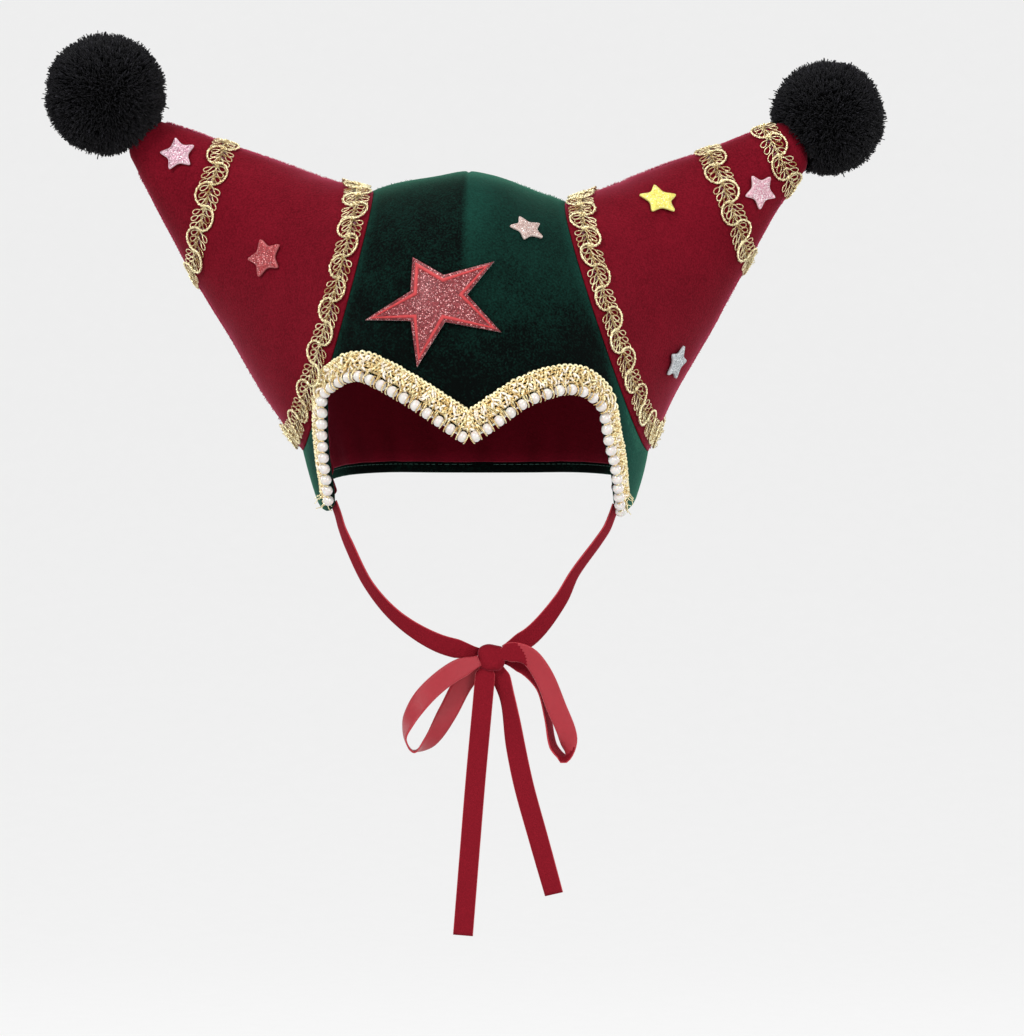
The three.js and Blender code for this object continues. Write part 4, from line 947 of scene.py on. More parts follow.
def make_ribbon(name):
    """A ribbon as a fine strip with a velvet face, a satin back and pale woven edges."""
    route = RIBBON_ROUTES[name]
    rows = [(x / MM, y / MM, z / MM) for x, y, z, _ in route]
    rolls = [(roll, 0.0, 0.0) for *_, roll in route]
    rough_length = sum(math.dist(a, b) for a, b in zip(rows, rows[1:]))
    steps = int(rough_length / 1.6)
    outline = []
    half_wide, half_thick = RIBBON_WIDTH / MM / 2, RIBBON_WALL / MM / 2
    for share in np.linspace(-0.94, 0.94, 9):
        outline.append((share * half_wide, half_thick * (1 - 0.25 * share**4)))
    outline.append((half_wide, 0.0))
    for share in np.linspace(0.94, -0.94, 9):
        outline.append((share * half_wide, -half_thick * (1 - 0.25 * share**4)))
    outline.append((-half_wide, 0.0))
    outline = np.array(outline)
    corners = len(outline)
    points, alongs, path = [], [], []
    run = 0.0
    for step in range(steps + 1):
        share = step / steps
        centre, tangent = spline_point(rows, share)
        roll, _ = spline_point(rolls, share)
        tangent = unit(tangent)
        flat = unit(np.cross(tangent, [0.0, 1.0, 0.0]))
        angle = math.radians(roll[0])
        wide = flat * math.cos(angle) + np.cross(tangent, flat) * math.sin(angle)
        thick = np.cross(tangent, wide)
        run += float(np.linalg.norm(centre - path[-1])) if path else 0.0
        path.append(centre)
        points.append(centre + outline[:, :1] * wide * knot_pinch(name, share, rough_length)
                      + outline[:, 1:] * thick)
        alongs.append(np.full(corners, run))
    points = np.concatenate(points)
    ring = np.arange(corners)
    following = (ring + 1) % corners
    quads = []
    kinds = []
    spans = RIBBON_ENDS[name][1]
    for step in range(steps):
        low, high = step * corners, (step + 1) * corners
        quads.append(np.stack([low + ring, high + ring, high + following, low + following], -1))
        middle = (step + 0.5) / steps
        both = name == "loop_left"
        for corner in range(corners):
            slant = middle + 0.05 * (min(corner, 18 - corner) / 4 - 1)
            front_satin = any(start <= (middle if both else slant) <= end for start, end in spans)
            if corner in (8, 9, 18, 19):
                kinds.append(2)
            elif corner < 8:
                kinds.append(1 if front_satin else 0)
            else:
                kinds.append(1 if both or not front_satin else 0)
    piece = build_piece(name + "_ribbon", points, np.concatenate(quads), {"along": np.concatenate(alongs)})
    piece.data.polygons.foreach_set("material_index", np.array(kinds, np.int32))
    make_active(piece)
    bpy.ops.object.mode_set(mode="EDIT")
    bpy.ops.mesh.select_all(action="DESELECT")
    bpy.ops.mesh.select_mode(type="EDGE")
    bpy.ops.mesh.select_non_manifold(extend=False, use_wire=False, use_boundary=True,
                                     use_multi_face=False, use_non_contiguous=False, use_verts=False)
    bpy.ops.mesh.edge_face_add()
    bpy.ops.mesh.select_all(action="SELECT")
    bpy.ops.mesh.normals_make_consistent(inside=False)
    bpy.ops.object.mode_set(mode="OBJECT")
    return piece, path, run * MM


class JESTERHAT_OT_camera(bpy.types.Operator):
    """Add the camera at the photograph's viewing angle"""

    bl_idname = "jester_hat.camera"
    bl_label = "Camera"

    def execute(self, context):
        data = bpy.data.cameras.new("camera")
        camera = bpy.data.objects.new("camera", data)
        context.scene.collection.objects.link(camera)
        turn = math.radians(CAMERA_TURN)
        place = Vector((AIM[0] + CAMERA_DISTANCE * math.sin(turn), -CAMERA_DISTANCE * math.cos(turn), AIM[2]))
        camera.location = place
        camera.rotation_euler = (Vector(AIM) - place).to_track_quat("-Z", "Y").to_euler()
        data.sensor_width = 36
        data.lens = 36 * CAMERA_DISTANCE / PICTURE_HEIGHT
        data.clip_end = 20
        context.scene.camera = camera
        return {"FINISHED"}


class JESTERHAT_OT_ribbons(bpy.types.Operator):
    """Add the ribbon straps, the bow's loops and tails, and the knot"""

    bl_idname = "jester_hat.ribbons"
    bl_label = "Ribbons and knot"

    def execute(self, context):
        tone = colours()
        velvet = velvet_finish("ribbon_velvet", tuple(tone.ribbon), tuple(1.5 * c for c in tone.ribbon),
                               (0.4, 0.06, 0.1), (0.9, 0.25, 0.32), 0.12)
        satin = satin_finish("ribbon_satin", tuple(tone.satin), tuple(1.12 * c for c in tone.satin))
        selvedge = satin_finish("ribbon_edge", tuple(1.15 * c for c in tone.satin),
                                tuple(min(1, 1.5 * c) for c in tone.satin))
        knot = make_knot(velvet, satin)
        for name, route in RIBBON_ROUTES.items():
            piece, path, length = make_ribbon(name)
            finish_piece(piece, [name], "ribbon", velvet, satin, selvedge)
        return {"FINISHED"}


def make_knot(velvet, satin):
    """The knot: a rounded cube with a band of ribbon drawn tight round its middle."""
    deselect_all()
    bpy.ops.mesh.primitive_cube_add(size=2, location=(0, 0, 0))
    knot = bpy.context.object
    knot.name = "knot_wrap"
    bpy.ops.object.mode_set(mode="EDIT")
    bpy.ops.mesh.select_all(action="SELECT")
    bpy.ops.mesh.subdivide(number_cuts=7, smoothness=0.0)
    bpy.ops.object.mode_set(mode="OBJECT")
    places = np.array([tuple(v.co) for v in knot.data.vertices])
    round_places = places / (np.abs(places) ** 3.4).sum(axis=1, keepdims=True) ** (1 / 3.4)
    x, y, z = round_places.T
    folds = 0.03 * np.sin(9 * x + 3 * z) + 0.025 * np.sin(7 * z - 5 * x)
    band = np.exp(-((x + 0.2 * z) / 0.5) ** 6)
    swell = 0.92 + 0.08 * band + folds * (1 - 0.5 * band)
    knot_points = round_places * swell[:, None] * np.array(KNOT_HALF) + np.array(KNOT_CENTRE)
    knot.data.vertices.foreach_set("co", knot_points.astype(np.float32).ravel())
    knot.data.update()
    make_active(knot)
    modifier = knot.modifiers.new("smooth", "SUBSURF")
    modifier.levels = 2
    modifier.render_levels = 2
    bpy.ops.object.modifier_apply(modifier=modifier.name)
    bpy.ops.object.shade_smooth()
    along = knot.data.attributes.new("along", "FLOAT", "POINT")
    values = np.array([v.co.z for v in knot.data.vertices], np.float32) / MM
    along.data.foreach_set("value", values)
    finish_piece(knot, ["bow_knot"], "ribbon", velvet, satin)
    return knot


def rim_columns(spacing_front=0.2, spacing_back=0.34):
    """Stations from the forehead point round one side, the nape and back."""
    front = np.arange(0, FLAP_TIP_STATION + 1, spacing_front)
    back = np.linspace(FLAP_TIP_STATION + 1, RIM_LAST, int((RIM_LAST - FLAP_TIP_STATION - 1) / spacing_back))
    half = np.concatenate([front, back])
    return half


def rim_line(inset):
    """Turns and levels right round the rim, the right half first and then the left half."""
    half = rim_columns()
    right_turn, right_level = rim_inset(half, 1, inset)
    left_turn, left_level = rim_inset(half[1:-1][::-1], -1, inset)
    right_turn = np.maximum.accumulate(right_turn)
    left_turn = -np.maximum.accumulate(-left_turn[::-1])[::-1]
    return np.concatenate([right_turn, left_turn]), np.concatenate([right_level, left_level])


def pucker(places, size, seed):
    """Soft uneven waves for cloth, from a few sines, between -1 and 1."""
    random = np.random.default_rng(seed)
    total = np.zeros(places.shape[:-1])
    for _ in range(7):
        direction = unit(random.normal(size=3))
        length = size * random.uniform(0.6, 1.6)
        total = total + np.sin(places @ direction * (2 * math.pi / length) + random.uniform(0, 6.28))
    return total / 4


class JESTERHAT_OT_crown(bpy.types.Operator):
    """Add the green velvet hood with its centre seam and its turned rim"""

    bl_idname = "jester_hat.crown"
    bl_label = "Crown"

    def execute(self, context):
        turns, levels = rim_line(0.0)
        rows = rows_to(levels, 46, 0.02)
        centre = crown_base(turns[None, :], rows)
        groove = -0.7 * np.exp(-((centre[..., 0] - 0.2) / 0.8) ** 2) * (centre[..., 1] < 0)
        groove = groove * (1 - soft_step((rows - 0.55) / 0.3))
        waves = 0.3 * pucker(centre, 46.0, 5)
        near_rim = soft_step((levels[None, :] - rows) / 0.12)
        outer = crown_point(turns[None, :], rows, groove + waves * near_rim)
        inner = crown_point(turns[None, :], rows, -VELVET_WALL + waves * near_rim)
        fold = []
        for inset, outset in ((-0.35, -0.2), (-0.6, -0.6), (-0.7, -1.0), (-0.6, -1.4), (-0.35, -1.8)):
            edge_turns, edge_levels = rim_line(inset)
            fold.append(crown_point(edge_turns, edge_levels, outset))
        rings = np.concatenate([outer, np.array(fold), inner[::-1]])
        painted_light = crown_painted_light(rings)
        piece = wall_piece("crown_velvet", rings, crown_point(0.0, 0.0, 0.0),
                           crown_point(0.0, 0.0, -VELVET_WALL),
                           {"painted_light": painted_light})
        for surface in HORN_SURFACES.values():
            cut_at_seam(piece, surface)
        tone = colours()
        velvet = velvet_finish("green_velvet", tuple(tone.green), tuple(tone.green_light),
                               (0.04, 0.19, 0.12), (0.25, 0.62, 0.5), 0.045, 0.6)
        finish_piece(piece, ["crown"], "green_velvet", velvet)
        random = np.random.default_rng(31)
        spots = random.choice([-1.0, 1.0], 3600) * (math.pi / 2 + random.normal(size=3600) * 0.12)
        ways = random.uniform(0.0, 0.62, 3600)
        feet = crown_point(spots, ways, -0.1)
        keep = np.ones(len(feet), bool)
        for surface in HORN_SURFACES.values():
            keep = keep & ((feet - surface.middle) @ surface.out < -2.5)
        add_pile("crown_pile", feet[keep], crown_point(spots, ways, 1.0)[keep],
                 velvet, random)
        return {"FINISHED"}


def crown_painted_light(places):
    """Painted sheen on the crown: lighter toward the top, on its right half and just right of the centre
    seam, on the flaps and beside the horns' seams.
    """
    x, z = places[..., 0], places[..., 2]
    right = soft_step((x + 1) / 2.5)
    painted_light = -0.1 + 0.12 * soft_step((z + 105) / 60) + 0.28 * right * soft_step((z + 95) / 70)
    painted_light = painted_light + 0.4 * right * (1 - soft_step((x - 3) / 18)) * soft_step((z + 55) / 40)
    painted_light = painted_light + (0.55 + 0.5 * right) * soft_step((np.abs(x - 3) - 60) / 16)
    for surface in HORN_SURFACES.values():
        gap = np.abs((places - surface.middle) @ surface.out)
        painted_light = painted_light + 0.3 * (1 - soft_step(gap / 4.0)) * soft_step((z + 135) / 20)
    return painted_light


def cut_at_seam(piece, surface):
    """Cuts the crown's wall along a horn's seam and closes the cut edge."""
    make_active(piece)
    place = (surface.middle - surface.out * PIECE_GAP / 2) * MM
    bpy.ops.object.mode_set(mode="EDIT")
    bpy.ops.mesh.select_all(action="SELECT")
    bpy.ops.mesh.bisect(plane_co=tuple(place), plane_no=tuple(surface.out), clear_outer=True)
    bpy.ops.mesh.select_all(action="DESELECT")
    bpy.ops.mesh.select_mode(type="EDGE")
    bpy.ops.mesh.select_non_manifold(extend=False, use_wire=False, use_boundary=True,
                                     use_multi_face=False, use_non_contiguous=False, use_verts=False)
    bpy.ops.mesh.bridge_edge_loops()
    bpy.ops.mesh.select_mode(type="VERT")
    bpy.ops.object.mode_set(mode="OBJECT")


class JESTERHAT_OT_lining(bpy.types.Operator):
    """Add the burgundy lining with its gathered edge, and the stitches of the hem"""

    bl_idname = "jester_hat.lining"
    bl_label = "Lining"

    def execute(self, context):
        turns, levels = rim_line(HEM_WIDTH)
        rows = rows_to(levels, 36, 0.02)
        edge = crown_base(turns, levels)
        gaps = np.linalg.norm(np.roll(edge, -1, axis=0) - edge, axis=-1)
        run = np.concatenate([[0], np.cumsum(gaps)[:-1]])
        length = gaps.sum()
        waves = round(length / 13.0)
        gather = np.sin(2 * math.pi * waves * run / length + 1.2 * np.sin(run / 31.0))
        near_edge = soft_step(1 - (np.interp(levels, PROFILE_LEVELS, PROFILE_ARCS)[None, :]
                                   - np.interp(rows, PROFILE_LEVELS, PROFILE_ARCS)) / 26.0)
        depth = sizes().gather_depth / MM
        wave = depth * (gather[None, :] - 1) / 2 * near_edge * 1.6
        outer_gap = -(VELVET_WALL + PIECE_GAP)
        outer = crown_point(turns[None, :], rows, outer_gap + wave, False)
        inner = crown_point(turns[None, :], rows, outer_gap - LINING_WALL + wave, False)
        fold_turns, fold_levels = rim_line(HEM_WIDTH - 0.5)
        fold = crown_point(fold_turns, fold_levels, outer_gap - LINING_WALL / 2 + wave[-1], False)
        rings = np.concatenate([outer, fold[None], inner[::-1]])
        # Painted shade on the gathers: lighter on their crests and darker in their hollows.
        painted_light = 0.25 + 0.25 * np.concatenate([gather[None, :] * near_edge,
                                            gather[None, :], (gather[None, :] * near_edge)[::-1]])
        piece = wall_piece("lining_cloth", rings, crown_point(0.0, 0.0, outer_gap, False),
                           crown_point(0.0, 0.0, outer_gap - LINING_WALL, False), {"painted_light": painted_light})
        tone = colours()
        cloth = velvet_finish("lining_cloth", tuple(tone.lining), tuple(1.7 * c for c in tone.lining),
                              (0.3, 0.05, 0.08), (0.8, 0.2, 0.3), 0.12)
        finish_piece(piece, ["lining"], "burgundy_lining", cloth)
        self.add_stitches()
        return {"FINISHED"}

    def add_stitches(self):
        """Short stitches that hold the turned hem, on the green just below the lining."""
        parts = []
        for side in (-1, 1):
            stations = np.linspace(0.3, RIM_LAST - 0.3, 150)
            shift = np.array([-0.06, -0.03, 0.0, 0.03, 0.06])
            spots = stations[:, None] + shift[None, :]
            turn, level = rim_inset(spots, side, HEM_WIDTH - 1.6)
            lift = np.array([0.1, -0.25, -0.35, -0.25, 0.1])
            centres = crown_point(turn, level, -VELVET_WALL + lift[None, :])
            ups = -crown_normal(centres)
            points, faces, waves = strand_arrays(centres, ups, 0.17, 5)
            parts.append((points, faces, waves, 0.5, 0))
        piece = strand_piece("hem_stitches", parts)
        thread = cord_finish("hem_thread", (0.008, 0.05, 0.036), (0.05, 0.13, 0.1), 0.0, 0.7, 0.5)
        piece.data.materials.append(thread)
        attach(piece, "root")


class JESTERHAT_OT_horns(bpy.types.Operator):
    """Add the two hollow burgundy horns with their folded seams"""

    bl_idname = "jester_hat.horns"
    bl_label = "Horns"

    def execute(self, context):
        tone = colours()
        velvet = velvet_finish("burgundy_velvet", tuple(tone.burgundy), tuple(tone.burgundy_light),
                               (0.46, 0.065, 0.12), (1.0, 0.25, 0.38), 0.06, 0.8)
        for name, surface in HORN_SURFACES.items():
            around = np.arange(160) / 160
            along = np.linspace(0, 1, 64)[:, None] ** 1.0
            base = surface.point(around[None, :], along)
            fade = soft_step(along / 0.12) * soft_step((1 - along) / 0.1)
            waves = (0.45 * pucker(base, 60.0, 11) + 0.22 * pucker(base, 24.0, 12)) * fade
            edge_ridge = (0.9 * np.exp(-((around[None, :] - 0.5) / 0.006) ** 2)
                          + 0.5 * np.exp(-((np.minimum(around, 1 - around)[None, :]) / 0.006) ** 2)) * fade
            puckers = 0.35 * np.sin(2 * math.pi * around[None, :] * 57 + 2 * np.sin(around[None, :] * 40))
            puckers = puckers * np.exp(-along / 0.05) * (1 - np.exp(-along / 0.012))
            outer = surface.point(around[None, :], along, waves + edge_ridge + puckers)
            inner = surface.point(around[None, :], along,
                                  -VELVET_WALL * np.where(along < 0.02, 0.7, 1) + waves)
            shift = surface.out * PIECE_GAP / 2
            outer[0] += shift
            inner[0] += shift
            cap = []
            for share, rise in ((0.12, 0.35), (0.35, 0.7), (0.68, 0.93)):
                cap.append(outer[-1] * (1 - share) + surface.tip * share + surface.axis * HORN_CAP * rise)
            inner_cap = [ring - surface.axis * VELVET_WALL for ring in cap]
            inner_cap = [ring * 0.8 + surface.tip * 0.2 for ring in inner_cap]
            rings = np.concatenate([np.array(cap)[::-1], outer[::-1], inner, np.array(inner_cap)])
            # Painted sheen and shade: a little lighter toward the front and darker toward the back, with a
            # pale painted sheen along the upper and lower edges.
            painted_light = np.full(rings.shape[:2], 0.22)
            front = np.sin(2 * math.pi * around)[None, :]
            edge = np.minimum(np.abs(around - 0.5), np.minimum(around, 1 - around))[None, :]
            painted_light = painted_light + 0.08 * front + 0.9 * (1 - soft_step(edge / 0.014))
            painted_light = painted_light + 0.3 * (1 - soft_step(edge / 0.05))
            piece = wall_piece("horn_" + name + "_velvet", rings, surface.tip + surface.axis * HORN_CAP,
                               surface.tip + surface.axis * (HORN_CAP - VELVET_WALL), {"painted_light": painted_light})
            finish_piece(piece, ["horn_" + name], "burgundy_velvet", velvet)
            random = np.random.default_rng(20 + surface.side)
            spots = random.choice([0.0, 0.5], 4200) + random.normal(size=4200) * 0.014
            ways = random.uniform(0.01, 0.97, 4200)
            add_pile("horn_" + name + "_pile", surface.point(spots, ways, -0.1),
                     surface.point(spots, ways, 1.0), velvet, random)
        return {"FINISHED"}


def add_pile(name, feet, above, velvet, random):
    """Short hairs of the velvet's pile, seen where its surface turns away."""
    count = len(feet)
    out = unit(above - feet) + random.normal(size=(count, 3)) * 0.35
    tips = feet + unit(out) * random.uniform(0.5, 1.3, (count, 1))
    centres = np.stack([feet, tips], axis=1)
    ups = np.broadcast_to(np.array([0.3, 0.9, 0.2]), centres.shape)
    points, faces, _ = strand_arrays(centres, ups, np.array([[0.15, 0.08]]), 3)
    # The hairs take the velvet's pale painted sheen colour.
    painted_light = np.full(len(points), 1.9)
    piece = build_piece(name, points, faces, {"painted_light": painted_light})
    piece.data.materials.append(velvet)
    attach(piece, "root")


def scroll_lines(period):
    """The scroll braid's lines for one left and one right scroll: across, along and height in mm."""
    half = period / 2
    cords, loops, stems, mauve = [], [], [], []
    for turn, side in ((0, -1), (1, 1)):
        start = turn * half
        steps = np.linspace(0, 1, 46)
        swing = math.pi * (1.3 * steps - 0.15)
        across = side * (5.5 * np.sin(swing) + 0.9)
        along = start + half / 2 * (1 - 1.06 * np.cos(swing))
        line = np.stack([across, along, 1.25 + 0.3 * np.cos(math.pi * steps)], -1)
        tangent = unit(np.gradient(line[:, :2], axis=0))
        aside = np.stack([tangent[:, 1], -tangent[:, 0]], -1)
        run = np.concatenate([[0], np.cumsum(np.linalg.norm(np.diff(line[:, :2], axis=0), axis=1))])
        phase = 2 * math.pi * run / 2.7
        for offset in (0, math.pi):
            strand = line.copy()
            strand[:, :2] += aside * (0.28 * np.cos(phase + offset))[:, None]
            strand[:, 2] += 0.28 * np.sin(phase + offset)
            cords.append(strand)
        theta = np.linspace(0.25, 2 * math.pi - 0.25, 14)
        for count, place in enumerate((0.1, 0.37, 0.63)):
            foot = np.array([0.0, start + half * place - 0.4])
            for loop_side, inner, tip, wide in ((side, 0.9, 4.7 - 0.3 * count, 1.35), (-side, 2.3, 5.9, 1.3)):
                lean = math.radians(33 + 4 * count)
                direction = np.array([loop_side * math.cos(lean), math.sin(lean)])
                aside_loop = np.array([-direction[1], direction[0]])
                out = (1 - np.cos(theta)) / 2
                length = (tip - inner) / math.cos(lean)
                neck = foot + direction * inner / math.cos(lean)
                spots = (neck + np.outer(length * out, direction)
                         + np.outer(wide * np.sin(theta) * out**0.3, aside_loop))
                line = np.concatenate([[foot + aside_loop * 0.3], spots, [foot - aside_loop * 0.3]])
                heights = np.linspace(1.0, 0.6, len(line))
                loops.append(np.concatenate([line, heights[:, None]], axis=1))
        stem_steps = np.linspace(0, 1, 12)
        for lean in (-1, 1):
            stems.append(np.stack([lean * 0.5 * np.sin(3 * math.pi * stem_steps), start + half * stem_steps,
                                   1.0 + 0.3 * lean * np.cos(3 * math.pi * stem_steps)], -1))
        mauve_steps = np.linspace(0, 1, 16)
        mauve.append(np.stack([2.2 * np.sin(mauve_steps * 6 * math.pi), start + half * mauve_steps,
                               np.full(16, 0.3)], -1))
    return {"cords": np.array(cords), "loops": np.array(loops), "stems": np.array(stems),
            "mauve": np.array(mauve)}


class BandPath:
    """The middle line of a braid band round a horn, by length."""

    def __init__(self, surface, along):
        self.surface = surface
        self.arounds = np.linspace(0, 1, 1441)
        if along is None:
            small = 0.05
            near = surface.point(self.arounds, small) - surface.point(self.arounds, 0.0)
            self.alongs = BRAID_SEAM_DISTANCE * small / np.linalg.norm(near, axis=-1)
        else:
            self.alongs = np.full_like(self.arounds, along)
        self.line = surface.point(self.arounds, self.alongs)
        gaps = np.linalg.norm(np.diff(self.line, axis=0), axis=-1)
        self.runs = np.concatenate([[0], np.cumsum(gaps)])
        self.length = self.runs[-1]
        ahead = surface.point(self.arounds + 0.004, self.alongs)
        behind = surface.point(self.arounds - 0.004, self.alongs)
        tangent = unit(ahead - behind)
        outward = surface.point(self.arounds, np.minimum(self.alongs + 0.02, 1))
        outward = outward - surface.point(self.arounds, np.minimum(self.alongs + 0.02, 1) - 0.02)
        self.across = unit(outward - tangent * (outward * tangent).sum(-1, keepdims=True))
        self.normal = unit(np.cross(tangent, self.across)) * -surface.side
        away = (self.normal * (self.line - self.line.mean(axis=0))).sum(-1).mean()
        self.normal = self.normal * np.sign(away)

    def spread(self, table, run):
        return np.stack([np.interp(run, self.runs, table[:, k]) for k in range(3)], -1)

    def place(self, across, run, height):
        run = run % self.length
        lift = (PIECE_GAP + height)[..., None] * self.spread(self.normal, run)
        return self.spread(self.line, run) + across[..., None] * self.spread(self.across, run) + lift


class JESTERHAT_OT_gimp(bpy.types.Operator):
    """Add the five bands of gold scroll braid"""

    bl_idname = "jester_hat.gimp"
    bl_label = "Gold scroll braid"

    def execute(self, context):
        tone = colours()
        gold = cord_finish("gold_scroll_cord", tuple(tone.gold), tuple(tone.cream))
        mauve = cord_finish("mauve_thread", (0.16, 0.05, 0.08), (0.42, 0.24, 0.3), 0.0, 0.7, 0.5)
        for seed, (name, (horn, along)) in enumerate(GIMP_BANDS.items()):
            surface = HORN_SURFACES[horn]
            path = BandPath(surface, along)
            count = max(round(path.length / (sizes().gimp_period / MM)), 2)
            period = path.length / count
            lines = scroll_lines(period)
            random = np.random.default_rng(40 + seed)
            parts = []
            # Each look's shade: the top scroll cords lightest, the loops and stems that lie beneath them
            # painted darker as shade; every strand gets a random tone on top.
            looks = (("cords", sizes().gimp_cord / MM, 6, 0.8, 0),
                     ("loops", sizes().gimp_thread / MM, 5, 0.55, 0),
                     ("stems", sizes().gimp_thread / MM, 5, 0.3, 0), ("mauve", 0.15, 4, 0.5, 1))
            for kind, radius, sides, shade, finish in looks:
                shapes = lines[kind]
                copies = []
                for copy in range(count):
                    moved = shapes.copy()
                    moved[..., 1] += copy * period
                    jitter = random.normal(size=(len(shapes), 1, 3)) * np.array([0.12, 0.12, 0.05])
                    copies.append(moved + jitter)
                shapes = np.concatenate(copies)
                centres = path.place(shapes[..., 0], shapes[..., 1], shapes[..., 2])
                above = path.place(shapes[..., 0], shapes[..., 1], shapes[..., 2] + 1.0)
                points, faces, waves = strand_arrays(centres, above - centres, radius, sides)
                shades = shade + 0.2 * random.normal(size=len(shapes))
                per_shape = len(points) // len(shapes)
                parts.append((points, faces, waves, np.repeat(shades, per_shape), finish))
            if along is None or name == "gimp_right_middle":
                parts.append(self.frayed_end(path, random))
            piece = strand_piece(name + "_scrolls", parts)
            finish_piece(piece, [name], "gold_cord", gold, mauve)
        return {"FINISHED"}

    def frayed_end(self, path, random):
        """Loose thread ends where the band is cut at the horn's lower edge."""
        run = np.interp(0.47, path.arounds, path.runs)
        steps = np.linspace(0, 1, 9)
        centres = []
        for _ in range(16):
            start = np.array([random.uniform(-5.5, 5.5), run + random.uniform(-3, 3)])
            swing = random.normal(size=2) * 2.2
            across = start[0] + swing[0] * steps + random.normal() * np.sin(steps * 4)
            along = start[1] + (3 + 3 * random.random()) * steps + swing[1] * steps**2
            height = 0.9 + random.uniform(0.4, 2.2) * np.sin(steps * math.pi)
            centres.append(path.place(across, along, height))
        centres = np.array(centres)
        ups = np.broadcast_to(np.array([0.0, -1.0, 0.3]), centres.shape)
        points, faces, waves = strand_arrays(centres, ups, 0.16, 4)
        return points, faces, waves, 0.8, 0


class JESTERHAT_OT_pompoms(bpy.types.Operator):
    """Add the two black yarn pompoms"""

    bl_idname = "jester_hat.pompoms"
    bl_label = "Pompoms"

    def execute(self, context):
        tone = colours()
        yarn = yarn_finish("black_yarn", tuple(tone.yarn), (0.026, 0.025, 0.032))
        for seed, (name, (horn, centre, radius)) in enumerate(POMPOMS.items()):
            random = np.random.default_rng(70 + seed)
            centre = np.array(centre)
            surface = HORN_SURFACES[horn]
            parts = [self.core(centre, radius * 0.8)]
            count = sizes().yarn_strands
            index = np.arange(count) + 0.5
            height = 1 - 2 * index / count
            turn = math.pi * (1 + 5**0.5) * index
            flat = np.sqrt(1 - height**2)
            out = np.stack([flat * np.cos(turn), flat * np.sin(turn), height], -1)
            out = unit(out + random.normal(size=out.shape) * 0.02)
            clumps = unit(random.normal(size=(900, 3)))
            nearest = np.argmax(out @ clumps.T, axis=1)
            aim = unit(out + (clumps[nearest] - out) * random.uniform(0.1, 0.75, (count, 1))
                       + random.normal(size=out.shape) * 0.06)
            clump_reach = random.uniform(0.945, 1.01, len(clumps))[nearest]
            reach = radius * clump_reach * random.uniform(0.95, 1.03, count)
            stray = random.random(count) < 0.02
            reach = np.where(stray, reach * 1.06, reach)
            start = out * radius * 0.78
            end = aim * reach[:, None]
            centres = np.stack([start, end], axis=1) + centre
            keep = self.clear_of_horn(centres[:, 1], surface)
            keep = keep & self.clear_of_horn(centres.mean(axis=1), surface)
            centres, stray = centres[keep], stray[keep]
            taper = np.array([1.2, 0.75])
            width = sizes().yarn_radius / MM * random.uniform(0.75, 1.25, len(centres))
            ups = np.broadcast_to(np.array([0.3, 0.2, 0.9]), centres.shape)
            points, faces, waves = strand_arrays(centres, ups, width[:, None] * taper[None, :], 3)
            # Painted shade and glints: each strand dark at its root inside the ball and paler at its tip;
            # about one strand in eight gets a full painted glint, the rest a random dimmer one.
            shade = np.tile(np.repeat(np.array([0.0, 1.0]), 3), len(centres))
            paler = np.where(random.random(len(centres)) < 0.12, 1.0, random.uniform(0.05, 0.4, len(centres)))
            shade = shade * np.repeat(paler, 6)
            parts.append((points, faces, waves, shade, 0))
            piece = strand_piece(name + "_yarn", parts)
            finish_piece(piece, [name], "black_yarn", yarn)
        return {"FINISHED"}

    def core(self, centre, radius):
        """The bundle's dense middle, uneven like packed yarn."""
        deselect_all()
        bpy.ops.mesh.primitive_ico_sphere_add(subdivisions=4, radius=1, location=(0, 0, 0))
        ball = bpy.context.object
        places = np.array([tuple(v.co) for v in ball.data.vertices])
        faces = np.array([tuple(p.vertices) for p in ball.data.polygons])
        bpy.data.objects.remove(ball)
        uneven = 1 + (0.04 * np.sin(places @ np.array([31.0, 17.0, 23.0]))
                      * np.sin(places @ np.array([-13.0, 29.0, 19.0])))
        return places * (radius * uneven)[:, None] + centre, faces, np.zeros((len(places), 3)), 0.0, 0

    def clear_of_horn(self, places, surface):
        """False for places inside the horn's tip or hard against it."""
        along = np.linspace(0.7, 1.0, 16)
        ring = surface.point(np.arange(24)[None, :] / 24, along[:, None], 0.7)
        middle = ring.mean(axis=1)
        gap = places[:, None, :] - middle[None, :, :]
        closest = np.argmin((gap**2).sum(-1), axis=1)
        local = places - middle[closest]
        beyond = (places - surface.tip) @ surface.axis > HORN_CAP
        rings = ring[closest] - middle[closest][:, None, :]
        directions = unit(rings)
        best = np.argmax((directions * unit(local)[:, None, :]).sum(-1), axis=1)
        reach = np.linalg.norm(rings[np.arange(len(places)), best], axis=-1)
        return beyond | (np.linalg.norm(local, axis=-1) > reach)


